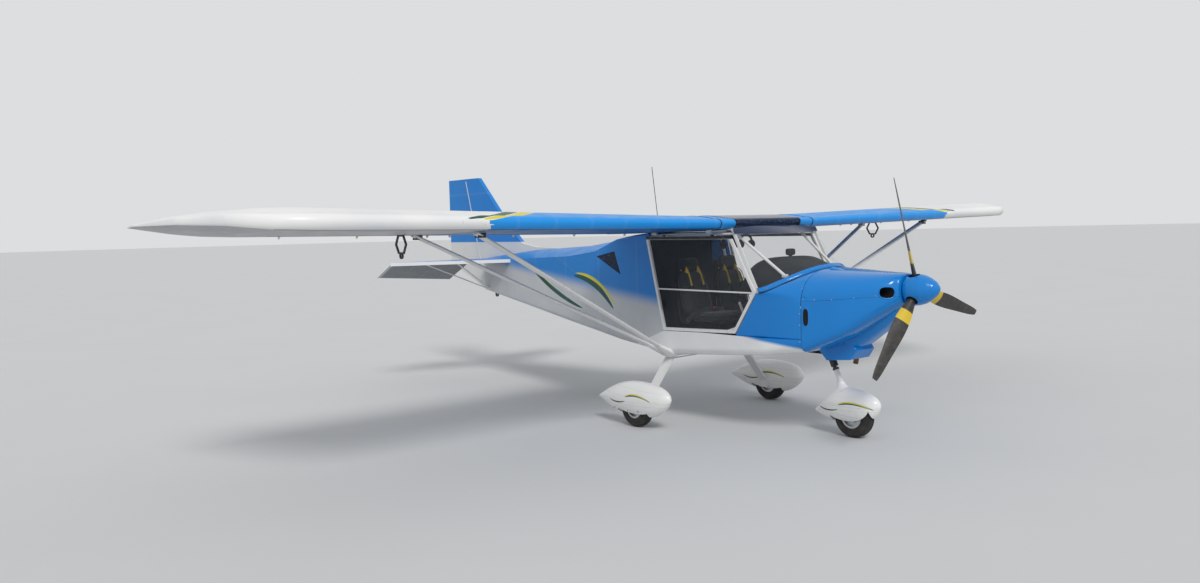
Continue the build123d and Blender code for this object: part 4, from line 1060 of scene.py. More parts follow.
@dataclass(frozen=True)
class Stage:
    """Pale floor, soft light and the camera at the photograph's angle."""

    eye: tuple = (-6.578, -7.188, 1.739)
    yaw: float = math.radians(-40.52)
    pitch: float = math.radians(-3.82)
    roll: float = math.radians(-1.408)
    sensor: float = 36.0
    focal: float = 979.7 / 1200 * 36
    light: float = 0.58
    seen: float = 0.74

    def build(self) -> None:
        """Makes the floor, the world, the lamps and the camera."""
        self.floor()
        self.world()
        self.lamps()
        self.camera()

    def floor(self) -> None:
        """Large disc whose colour reads as it is written."""
        g = Graph("floor_paint")
        tone = g.mix(g.noise(0.7, 2.0), (0.60, 0.61, 0.62), (0.63, 0.64, 0.65))
        shade = g.finish(Base_Color=tone, Roughness=0.9)
        r, t = np.array([0.0, 8.0, 30.0, 160.0])[:, None], turns(64)
        disc = Shape().grid(spread(r * np.cos(t), r * np.sin(t), -0.001), wrap_v=True)
        mesh = bpy.data.meshes.new("floor")
        mesh.from_pydata(disc.points[0].tolist(), [], disc.faces[0])
        mesh.materials.append(shade)
        new_object("floor", mesh)

    def world(self) -> None:
        """Soft sky light, and plain white for what the camera, gloss and glass see."""
        world = bpy.data.worlds.new("studio")
        bpy.context.scene.world = world
        world.use_nodes = True
        nodes, links = world.node_tree.nodes, world.node_tree.links
        shade, path = nodes["Background"], nodes.new("ShaderNodeLightPath")
        direct = path.outputs["Is Camera Ray"]
        for ray in ("Is Glossy Ray", "Is Transmission Ray"):
            either = nodes.new("ShaderNodeMath")
            either.operation = "MAXIMUM"
            links.new(direct, either.inputs[0])
            links.new(path.outputs[ray], either.inputs[1])
            direct = either.outputs[0]
        level = nodes.new("ShaderNodeMapRange")
        links.new(direct, level.inputs["Value"])
        level.inputs["To Min"].default_value = self.light
        level.inputs["To Max"].default_value = self.seen
        links.new(level.outputs["Result"], shade.inputs["Strength"])
        shade.inputs["Color"].default_value = (0.97, 0.985, 1.0, 1.0)

    def lamps(self) -> None:
        """One broad sun from above and ahead of the starboard side."""
        sun = bpy.data.lights.new("sun", "SUN")
        sun.energy, sun.angle, sun.color = 1.6, math.radians(16), (1.0, 0.985, 0.96)
        aim = Vector((-0.42, -0.78, 0.80)).to_track_quat("Z", "Y")
        new_object("sun", sun).rotation_euler = aim.to_euler()

    def camera(self) -> None:
        """Camera by its place, its heading and its lens."""
        cy, sy, cp, sp = math.cos(self.yaw), math.sin(self.yaw), math.cos(self.pitch), math.sin(self.pitch)
        ahead, level = Vector((-sy * cp, cy * cp, sp)), Vector((cy, sy, 0))
        lift = level.cross(ahead)
        right = level * math.cos(self.roll) + lift * math.sin(self.roll)
        up = lift * math.cos(self.roll) - level * math.sin(self.roll)
        data = bpy.data.cameras.new("camera")
        data.lens, data.sensor_width, data.sensor_fit = self.focal, self.sensor, "HORIZONTAL"
        data.clip_end = 500.0
        camera = new_object("camera", data)
        turn = Matrix((right, up, -ahead)).transposed().to_4x4()
        camera.matrix_world = Matrix.Translation(self.eye) @ turn
        bpy.context.scene.camera = camera
        bpy.context.scene.view_settings.view_transform = "Standard"


@dataclass
class Dressing:
    """Finishes of the CAD nodes that stay in sight."""

    finishes: Finishes
    wear: dict = field(
        default_factory=lambda: {
            "tub_shell": ("belly_tub",),
            "blue_shell": ("front_skin", "upper_cowling", "lower_cowling", "spinner"),
            "clear_sheet": ("windshield", "port_door_glass", "starboard_door_glass"),
            "fuselage_cloth": ("rear_fuselage",),
            "tinted_sheet": ("side_windows", "roof_window"),
            "bare_metal": ("firewall", "nose_rim", "port_rim", "starboard_rim"),
            "seal_black": ("outlet_box", "antenna"),
            "dark_metal": ("engine_block", "nose_sleeve", "tie_down_brackets", "tail_eye"),
            "wing_cloth": (
                "port_wing", "starboard_wing", "wing_centre", "port_flap", "starboard_flap",
                "port_aileron", "starboard_aileron",
            ),
            "white_tube": (
                "front_struts", "rear_struts", "tail_struts", "main_gear_legs", "cabin_frame",
                "control_sticks", "nose_leg",
            ),
            # Door frames, their top bars black as painted shadow of the wing.
            "door_tube": ("port_door_frame", "starboard_door_frame"),
            "white_shell": ("strut_fairings",),
            "fin_cloth": ("fin", "rudder"),
            "tail_cloth": ("stabilizer", "elevator"),
            "spat_shell": ("main_spats", "nose_spat"),
            "black_vinyl": ("instrument_panel",),
            "seat_cloth": ("port_seat", "starboard_seat"),
            "inner_dark": ("seat_bases",),
            "heat_stained": ("exhaust",),
            "blade_coat": ("propeller",),
            "rubber": ("nose_tyre", "port_tyre", "starboard_tyre"),
        }
    )

    def build(self) -> None:
        """Gives each node its finish."""
        for finish, nodes in self.wear.items():
            for node in nodes:
                for slot in bpy.data.objects[node].material_slots:
                    slot.material = self.finishes[finish]
        log.info("dressed %d nodes", sum(len(nodes) for nodes in self.wear.values()))


@dataclass
class Nose:
    """Moulded cowling round the engine, with its inlets, seams, slots and screws.

    Rows: distance aft, half width, floor, height of the widest place, crown, and the powers of
    the upper and the lower half of the section.
    """

    finishes: Finishes
    rows: tuple = (
        (-1.340, 0.148, 1.092, 1.200, 1.322, 2.6, 2.4),
        (-1.290, 0.212, 1.052, 1.190, 1.329, 2.5, 3.6),
        (-1.160, 0.305, 0.955, 1.175, 1.334, 2.4, 6.0),
        (-0.970, 0.397, 0.832, 1.140, 1.343, 2.5, 9.0),
        (-0.770, 0.450, 0.744, 1.090, 1.355, 2.6, 12.0),
        (-0.690, 0.468, 0.712, 1.060, 1.361, 2.7, 14.0),
    )
    inlet: tuple = (0.206, 1.190)
    inlet_half: tuple = (0.041, 0.044)
    inlet_power: float = 2.6
    split: float = 1.120

    def values(self, at: Array) -> tuple:
        """Columns of the table at distances aft."""
        return tuple(np.moveaxis(read_rows(self.rows, at), -1, 0))

    def section(self, at: Array, turn: Array) -> Array:
        """Points of the skin.

        X is the half width times the cosine raised to 2/n, and Z leaves the widest place by
        the rise or the drop times the sine raised to 2/n.

        Args:
            at: distances aft.
            turn: angles round the section, 0 at the port side.

        Returns:
            Array (len(at), len(turn), 3).
        """
        half, floor, middle, crown, top, low = (v[:, None] for v in self.values(at))
        c, s = np.cos(turn)[None], np.sin(turn)[None]
        power = 2 / np.where(s > 0, top, low)
        x = half * signed_power(c, power)
        z = middle + np.where(s > 0, crown - middle, middle - floor) * signed_power(s, power)
        return spread(x, aft(at)[:, None], z)

    def side_x(self, at: Array, z: Array) -> Array:
        """Half width of the skin at distances aft and heights."""
        half, floor, middle, crown, top, low = self.values(at)
        high = z > middle
        share = np.abs(z - middle) / np.where(high, crown - middle, middle - floor)
        power = np.where(high, top, low)
        return half * np.clip(1 - share**power, 0, 1) ** (1 / power)

    def reach(self, x: Array, z: Array, start: float = -1.338, end: float = -1.0) -> Array:
        """Distance aft at which the skin has grown out to points of a front view."""
        at = np.linspace(start, end, 160)
        wide = self.side_x(at[:, None], z)
        return at[np.argmax(wide >= np.abs(x)[None], axis=0)]

    def build(self) -> None:
        """Builds the cowling and what sits on it."""
        self.skin()
        self.inlets()
        self.chin()
        self.slots()
        self.screws()

    def skin(self) -> None:
        """The shell with openings for the inlets, rolled in round the spinner."""
        at = np.concatenate([np.linspace(-1.338, -1.12, 90), np.linspace(-1.115, -0.692, 60)])
        body = self.section(at, turns(260))
        lip = shrunk(body[0], np.array([0.0, 0.0, HUB[2]]), (0.985, 0.95, 0.90, 0.80, 0.62, 0.40))
        lip[..., 1] = body[0, :, 1] - np.array([0.004, 0.0065, 0.0075, 0.0075, 0.0075, 0.0075])[:, None]

        def keep(middle: Array) -> Array:
            """Faces outside both inlets."""
            u = (np.abs(middle[:, 0]) - self.inlet[0]) / self.inlet_half[0]
            v = (middle[:, 2] - self.inlet[1]) / self.inlet_half[1]
            inside = np.abs(u) ** self.inlet_power + np.abs(v) ** self.inlet_power < 1
            return ~(inside & (middle[:, 1] < aft(-1.1)))

        shape = Shape().grid(np.concatenate([lip[::-1], body]), wrap_v=True, keep=keep)
        piece = shape.build("cowling", "airframe", self.finishes.pick("cowl_paint"), 50)
        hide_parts("upper_cowling", "lower_cowling")

    def inlets(self) -> None:
        """Rolled lips, near-black ducts as painted shade, and the pale disc inside them."""
        t = turns(72)
        x = self.inlet[0] + self.inlet_half[0] * signed_power(np.cos(t), 2 / self.inlet_power)
        z = self.inlet[1] + self.inlet_half[1] * signed_power(np.sin(t), 2 / self.inlet_power)
        edge = spread(x, aft(self.reach(x, z)), z)
        lips = Shape().tube(edge, 0.0045, 10, loop=True).mirrored()
        lips.build("inlet_lips", "airframe", self.finishes.pick("blue_shell"))
        rings = shrunk(edge, np.array([self.inlet[0], 0, self.inlet[1]]), (0.97, 0.95, 0.6, 0.0))
        rings[..., 1] = aft(-1.17) + np.array([0.02, 0.06, 0.062, 0.062])[:, None]
        duct = Shape().grid(np.concatenate([edge[None] + (0, 0.001, 0), rings]), wrap_v=True, flip=True)
        disc = (0.200, aft(-1.170), 1.186)
        duct.turned([(0, -0.012), (0.022, -0.012), (0.026, -0.006), (0.026, 0.04)], disc, (0, 1, 0), slot=1)
        duct.turned([(0.004, -0.022), (0.007, -0.020), (0.007, -0.010)], disc, (0, 1, 0), slot=2)
        # Ducts near black: painted shade inside the inlets.
        looks = self.finishes.pick("inner_dark", "bare_metal", "dark_metal")
        duct.mirrored().build("inlet_ducts", "airframe", looks, outward=False)

    def chin(self) -> None:
        """Air duct along the keel of the cowling, ending in the outlet box."""
        rows = smooth_rows(
            (
                (-1.325, 0.050, 1.080, 1.150),
                (-1.280, 0.090, 1.005, 1.120),
                (-1.150, 0.125, 0.885, 1.030),
                (-1.020, 0.135, 0.785, 0.930),
                (-0.930, 0.140, 0.722, 0.860),
                (-0.860, 0.144, 0.696, 0.830),
            ),
            40,
        )
        t = np.linspace(0, np.pi, 48)
        x = rows[:, 1:2] * signed_power(np.cos(t), 0.6)
        z = rows[:, 3:4] - (rows[:, 3:4] - rows[:, 2:3]) * signed_power(np.sin(t), 0.62)
        grid = spread(x, aft(rows[:, :1]), z)
        nose = np.repeat(grid[:1].mean(axis=1, keepdims=True), 48, axis=1)
        duct = Shape().grid(np.concatenate([nose, grid]))
        duct.build("chin_duct", "airframe", self.finishes.pick("cowl_paint"), 40, wall=0.003)
        back = np.array([-0.640, -0.612, -0.690, -0.902, -0.962, -0.900])
        profile = spread(back, np.array([0.780, 0.705, 0.622, 0.640, 0.716, 0.790]))
        at, z = np.moveaxis(shrunk(profile, np.array([-0.80, 0.76]), (0.965, 1.0, 1.0, 0.965)), -1, 0)
        narrow = 1 - 0.22 * np.clip((-0.84 - at) / 0.12, 0, 1)
        box = spread(np.array([-0.150, -0.146, 0.146, 0.150])[:, None] * narrow, aft(at), z)
        shape = Shape().grid(box, wrap_v=True)
        for row in (0, 3):
            shape.add(box[row], [[0, 1, 2, 3, 4, 5]])
        piece = shape.build("outlet_duct", "airframe", self.finishes.pick("blue_shell"), 30)
        bevel = piece.modifiers.new("edges", "BEVEL")
        bevel.width, bevel.segments = 0.008, 3
        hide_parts("outlet_box")

    def slots(self) -> None:
        """Upright slot on each side and the flat vent on the top, their openings black as painted shade."""
        t = turns(40)
        share = np.array([0.0, 0.5, 0.86, 0.94, 1.0, 1.08])[:, None]
        out = np.array([0.0003, 0.0003, 0.0003, 0.0028, 0.0028, -0.001])[:, None]
        centre, half = (-0.728, 0.993), (0.025, 0.078)
        at = centre[0] + share * half[0] * np.cos(t)
        z = centre[1] + share * half[1] * signed_power(np.sin(t), 0.5)
        grid = spread(self.side_x(at, z) + out, aft(at), z)
        # Black oval inside each slot's raised rim: painted shade of the opening.
        shape = Shape().grid(grid[:3], wrap_v=True).grid(grid[2:], wrap_v=True, slot=1).mirrored()
        looks = self.finishes.pick("seal_black", "blue_shell")
        shape.build("cowl_slots", "airframe", looks, 60, outward=False)
        u = np.linspace(-1, 1, 25)[:, None]
        v = np.linspace(0, 1, 14)[None]
        at = -0.735 - 0.105 * v + 0 * u
        x = -0.115 + 0.038 * u * (1 - 0.35 * v)
        low = self.top_z(at, x)
        high = low + 0.013 * (1 - u**4) * np.sin(np.pi * (v * 0.5 + 0.5)) + 0.0005
        hood = Shape().grid(spread(x, aft(at), high), flip=True)
        mouth = [spread(x[:, 0], aft(at[:, 0] - 0.001), z[:, 0]) for z in (low, high)]
        # Black face across the vent's mouth: painted shade.
        hood.grid(np.array(mouth), slot=1)
        hood.build("cowl_vent", "airframe", looks[::-1], 50, outward=False)

    def top_z(self, at: Array, x: Array) -> Array:
        """Height of the skin's upper half at distances aft and x."""
        half, _, middle, crown, top, _ = self.values(at)
        share = np.clip(np.abs(x) / half, 0, 1)
        return middle + (crown - middle) * (1 - share**top) ** (1 / top)

    def screws(self) -> None:
        """Rows of screw heads along the split and the firewall seam."""
        at = np.array([-0.705, -0.800, -0.935, -1.090, -1.225, *[-0.678] * 5])
        rise = np.array([0.012, 0.012, 0.016, 0.030, 0.046])
        z = np.concatenate([self.split + rise, [1.02, 0.93, 0.80, 1.20, 1.28]])
        skin = np.minimum(at, -0.69)
        x = self.side_x(skin, z)
        x[5:8] += 0.004
        points = spread(x, aft(at), z)
        normals = spread(1.0, -0.2, (x - self.side_x(skin, z + 0.01)) / 0.01)
        both = (np.concatenate([rows, rows * (-1, 1, 1)]) for rows in (points, normals))
        heads = Shape().studs(*both, 0.0052, 0.0022)
        heads.build("cowl_screws", "airframe", self.finishes.pick("bolt_metal"))


@dataclass
class FrontShell:
    """Skin from the firewall to the doors and the windshield that stands on it.

    Points are half width, distance aft and height: foot and head of the pillar, tip of the
    base line.
    """

    finishes: Finishes
    nose: Nose
    foot: tuple = (0.549, -0.345, 1.182)
    tip: tuple = (0.0, -0.688, 1.361)
    sill: float = 0.8155
    plan_power: float = 1.55
    rise_power: float = 2.1
    head: tuple = (0.5485, -0.072, 1.690)

    def base(self, s: Array) -> Array:
        """Base line of the glass.

        In plan it is a superellipse between the tip and the foot of the pillar, and its
        height falls from the tip with a power of the share of the half width.

        Args:
            s: share of the half width, -1 to 1.

        Returns:
            Array of points.
        """
        side = np.abs(s)
        run = (1 - side**self.plan_power) ** (1 / self.plan_power)
        at = self.foot[1] + (self.tip[1] - self.foot[1]) * run
        z = self.tip[2] + (self.foot[2] - self.tip[2]) * side**self.rise_power
        return spread(self.foot[0] * s, aft(at), z)

    def build(self) -> None:
        """Builds the skin, the glass and its trim."""
        self.skin()
        self.glass()
        self.trim()

    def skin(self) -> None:
        """Surface between the firewall's section and the edge of door and glass.

        Each line runs from a point of the section to its partner on the edge. Its width
        eases out, so that it leaves along the cowling and arrives along the cabin's side.
        """
        edge = np.array([(0.5498, -0.0850, self.sill), (0.5498, -0.31, 1.166), self.foot])
        low = smooth_rows(edge[:2], 30)
        side = np.concatenate([low, smooth_rows(edge[1:], 4)[1:]])
        side[:, 1] = aft(side[:, 1])
        top = self.base(np.linspace(1, 0, 70) ** 0.8)[1:]
        target = np.concatenate([side, top])
        z = np.linspace(self.sill, self.tip[2], 200)
        x = self.nose.side_x(np.full(200, -0.69), np.minimum(z, self.tip[2] - 1e-4))
        section = spread(x, z)
        section[-1, 0] = 0.0
        length = np.concatenate([[0], np.cumsum(np.linalg.norm(np.diff(section, axis=0), axis=1))])
        line = np.linalg.norm(np.diff(target, axis=0), axis=1)
        share = np.concatenate([[0], np.cumsum(line)]) / line.sum()
        even = 0.28
        share = share * (1 - even) + even * np.linspace(0, 1, len(share))
        start = np.stack([np.interp(share * length[-1], length, section[:, k]) for k in (0, 1)], axis=-1)
        first = spread(start[:, 0], np.full(len(start), aft(-0.688)), start[:, 1])
        w = np.linspace(0, 1, 40)[:, None, None]
        grid = first + (target - first) * w
        ease = 0.38 * w[..., 0] * (1 - w[..., 0])
        grid[..., 0] += ease * (target - first)[:, 0]
        shell = Shape().grid(grid).mirrored()
        piece = shell.build("front_shell", "airframe", self.finishes.pick("cowl_paint"), 40, wall=0.003)
        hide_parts("front_skin")

    def glass(self) -> None:
        """Bent clear sheet from its base line up to the leading edge of the wing.

        Each line rises from the base to its partner on the upper edge and bulges by a sine.
        """
        s = np.sin(np.linspace(-np.pi / 2, np.pi / 2, 90))
        side = np.abs(s)
        low = self.base(s)
        head_y = aft(self.head[1] + 0.062 * (1 - side**3))
        high = spread(self.head[0] * s, head_y, self.head[2] + 0.030 * (1 - side**2.4))
        w = np.linspace(0, 1, 40)[:, None, None]
        grid = low + (high - low) * w
        bulge = np.sin(np.pi * w[..., 0]) * (1 - side**2.5)
        grid[..., 1] -= 0.012 * bulge
        grid[..., 2] += 0.022 * bulge
        shape = Shape().grid(grid)
        piece = shape.build("windshield_sheet", "airframe", self.finishes.pick("visor_sheet"), 60, wall=0.003)
        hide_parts("windshield")

    def trim(self) -> None:
        """Blue strip with rivets along the foot of the glass, and the black line below it."""
        s = np.sin(np.linspace(-np.pi / 2, np.pi / 2, 160))
        base = self.base(s)
        up = spread(0.35 * s, -0.55 * (1 - s**2), 1.0)
        out = unit(np.cross(np.gradient(base, axis=0), (0, 0, 1.0)))
        out = unit(out * (0.25 + np.abs(s)[:, None]) + spread(0.0, 0.0, 1.1 * (1 - s**2)))
        low = base + 0.0065 * out - (0, 0, 0.004)
        high = base + 0.0045 * out + spread(-0.004 * s, 0.030, 0.030)
        strip = Shape().grid(np.stack([low, (low + high) / 2, high]))
        strip.build("windshield_strip", "airframe", self.finishes.pick("blue_shell"), 60, wall=0.0018)
        line = Shape().tube(low + 0.001 * out - (0, 0, 0.002), 0.0042, 10)
        line.build("windshield_trim", "airframe", self.finishes.pick("seal_black"))
        some = np.linspace(6, 153, 15).astype(int)
        middle = (0.55 * low + 0.45 * high)[some] + 0.002 * up[some]
        rivets = Shape().studs(middle, up[some], 0.0046, 0.0026)
        rivets.build("windshield_rivets", "airframe", self.finishes.pick("bolt_metal"))


def arc(a: Point, b: Point, c: Point, count: int) -> Array:
    """Points of the circle through three points, from the first to the last."""
    (ax, ay), (bx, by), (cx, cy) = a, b, c
    d = 2 * (ax * (by - cy) + bx * (cy - ay) + cx * (ay - by))
    squares = ax * ax + ay * ay, bx * bx + by * by, cx * cx + cy * cy
    ux = (squares[0] * (by - cy) + squares[1] * (cy - ay) + squares[2] * (ay - by)) / d
    uy = (squares[0] * (cx - bx) + squares[1] * (ax - cx) + squares[2] * (bx - ax)) / d
    start, middle, end = (math.atan2(y - uy, x - ux) for x, y in (a, b, c))
    sweep = (end - start) % (2 * math.pi)
    if (middle - start) % (2 * math.pi) > sweep:
        sweep -= 2 * math.pi
    t = start + sweep * np.linspace(0, 1, count)
    radius = math.hypot(ax - ux, ay - uy)
    return spread(ux + radius * np.cos(t), uy + radius * np.sin(t))


@dataclass
class Roof:
    """Middle of the wing: two blue strips, a tinted sheet over the cabin and the panel behind.

    The strips lie between edge_x and root_x, and the panel starts at the distance aft named
    rear.
    """

    finishes: Finishes
    chord: float = 1.420
    edge_x: float = 0.418
    root_x: float = 0.6035
    rear: float = 0.880

    def outline(self) -> Array:
        """Wing section, from the trailing edge over the top to the nose and back below.

        Returns:
            Rows of distance aft along the chord line and height above it.
        """
        c = self.chord
        top = [
            arc((c, 0.0025), (0.65 * c, 0.057 * c), (0.3 * c, 0.087 * c), 30),
            arc((0.3 * c, 0.087 * c), (0.15 * c, 0.08 * c), (0.05 * c, 0.054 * c), 20),
        ]
        nose = arc((0.05 * c, 0.054 * c), (0, 0), (0.05 * c, -0.026 * c), 26)
        under = arc((0.05 * c, -0.026 * c), (0.22 * c, -0.034 * c), (0.45 * c, -0.031 * c), 20)
        tail = np.array([(0.45 * c, -0.031 * c), (0.72 * c, -0.018 * c), (c, -0.0025)])
        return np.concatenate([top[0], top[1][1:], nose[1:], under[1:], tail[1:]])

    def placed(self, rows: Array) -> Array:
        """Section points turned to the wing's incidence, as aft and height."""
        along, above = rows.T
        a = along * math.cos(INCIDENCE) + above * math.sin(INCIDENCE)
        z = WING_LE_Z - along * math.sin(INCIDENCE) + above * math.cos(INCIDENCE)
        return spread(a, lowered_crown(spread(0.0, aft(a), z))[:, 2])

    def build(self) -> None:
        """Builds the strips, the sheet, the spar and the seams."""
        rows = self.placed(self.outline())
        shape = Shape()
        for low, high in ((self.edge_x, self.root_x), (-self.root_x, -self.edge_x)):
            self.slab(shape, rows, low, high)
        self.slab(shape, rows[rows[:, 0] > self.rear], -self.edge_x, self.edge_x)
        piece = shape.build("wing_middle", "airframe", self.finishes.pick("wing_cloth"), 40)
        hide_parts("wing_centre")
        upper = rows[: np.argmin(rows[:, 0]) + 14]
        upper = upper[upper[:, 0] < self.rear + 0.012]
        x = np.linspace(-self.edge_x - 0.012, self.edge_x + 0.012, 40)[:, None]
        cover = Shape().grid(spread(x, aft(upper[:, 0]), upper[:, 1] + 0.0025), flip=True)
        sheet = cover.build("roof_sheet", "airframe", self.finishes.pick("tinted_sheet"), 60)
        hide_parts("roof_window")
        tubes = Shape()
        for a, z in ((0.30, 1.700), (0.80, 1.690)):
            tubes.tube(np.array([(-0.45, aft(a), z), (0.45, aft(a), z)]), 0.019)
        tubes.tube(np.array([(0, aft(0.02), 1.722), (0, aft(0.30), 1.742), (0, aft(0.82), 1.722)]), 0.010)
        tubes.build("roof_tubes", "airframe", self.finishes.pick("white_tube"))
        seams = Shape()
        for x in (self.root_x, self.edge_x + 0.002):
            path = spread(x, aft(rows[:, 0]), rows[:, 1])
            seams.sweep(path, flat_bar(0.0045, 0.0022, -0.003)[:, ::-1], up=(1, 0, 0))
        seams.mirrored().build("wing_root_seams", "airframe", self.finishes.pick("seal_black"))

    def slab(self, shape: Shape, rows: Array, low: float, high: float) -> None:
        """Adds the wing section between two x values with flat ends."""
        grid = spread(np.array([[low], [high]]), aft(rows[:, 0]), rows[:, 1])
        shape.grid(grid, wrap_v=True)
        middle = grid.mean(axis=1, keepdims=True)
        cap = np.concatenate([grid, np.repeat(middle, len(rows), axis=1)])
        shape.grid(cap[[0, 2]], wrap_v=True).grid(cap[[1, 3]], wrap_v=True)


@dataclass(frozen=True)
class Pad:
    """Crowned closed cushion: a superellipsoid with a taper along its length.

    Width and length follow powers of the cosines of two angles and the thickness follows
    the sine, so that the sides pull in between the corners.
    """

    centre: tuple
    length_way: tuple
    thick_way: tuple
    half: tuple
    taper: float = 0.0
    corner: float = 0.36
    voxel: float = 0.009
    pressure: float = 4.0
    frames: int = 15

    def place(self, wide: Array, long: Array | float, deep: Array | float) -> Array:
        """Points from shares of the half width, the half length and the half thickness."""
        axes = np.array([(1, 0, 0), unit(np.array(self.length_way)), unit(np.array(self.thick_way))], float)
        wide = wide * (1 - self.taper * (long + 1) / 2)
        return np.array(self.centre) + (np.array(self.half) * spread(wide, long, deep)) @ axes

    def surface(self, rows: int = 26, columns: int = 72) -> Array:
        """Grid of points of the pad."""
        u, v = np.linspace(-np.pi / 2, np.pi / 2, rows)[:, None], turns(columns)
        ring = signed_power(np.cos(u), self.corner)
        wide = ring * signed_power(np.cos(v), self.corner)
        long = ring * signed_power(np.sin(v), self.corner)
        return self.place(wide, long, signed_power(np.sin(u), 0.85) * (1 - 0.10 * wide**2 * long**2))

    def rim(self, lift: float, count: int = 90) -> Array:
        """Closed line round the pad at a share of its thickness."""
        v = turns(count)
        return self.place(signed_power(np.cos(v), self.corner), signed_power(np.sin(v), self.corner), lift)

    def made(self, name: str, finish: bpy.types.Material, fill: float, cap: float) -> bpy.types.Object:
        piece = Shape().grid(self.surface(), wrap_v=True).build(name, "airframe", [finish], 70)
        self.puff(piece, cap)
        return piece

    def puff(self, piece: bpy.types.Object, cap: float) -> None:
        """Inflates the mesh as cloth under pressure, no point moving more than the cap."""
        remesh = piece.modifiers.new("voxels", "REMESH")
        remesh.mode, remesh.voxel_size = "VOXEL", self.voxel
        fresh = bpy.data.meshes.new_from_object(piece.evaluated_get(bpy.context.evaluated_depsgraph_get()))
        piece.modifiers.clear()
        materials = list(piece.data.materials)
        piece.data = fresh
        fresh.materials.clear()
        for material in materials:
            fresh.materials.append(material)
        count = len(fresh.vertices)
        start = np.empty(count * 3)
        fresh.vertices.foreach_get("co", start)
        cloth = piece.modifiers.new("cloth", "CLOTH")
        cloth.settings.use_pressure = True
        cloth.settings.uniform_pressure_force = self.pressure
        cloth.settings.quality = 4
        cloth.settings.effector_weights.gravity = 0.0
        scene = bpy.context.scene
        for frame in range(1, self.frames + 1):
            scene.frame_set(frame)
        result = piece.evaluated_get(bpy.context.evaluated_depsgraph_get()).to_mesh()
        end = np.empty(count * 3)
        result.vertices.foreach_get("co", end)
        piece.modifiers.clear()
        scene.frame_set(1)
        move = (end - start).reshape(-1, 3)
        size = np.linalg.norm(move, axis=1, keepdims=True)
        move = move * np.minimum(1.0, cap / np.maximum(size, 1e-9))
        fresh.vertices.foreach_set("co", (start.reshape(-1, 3) + move).ravel())
        fresh.shade_smooth()
        smooth = piece.modifiers.new("smooth", "SUBSURF")
        smooth.levels = smooth.render_levels = 1


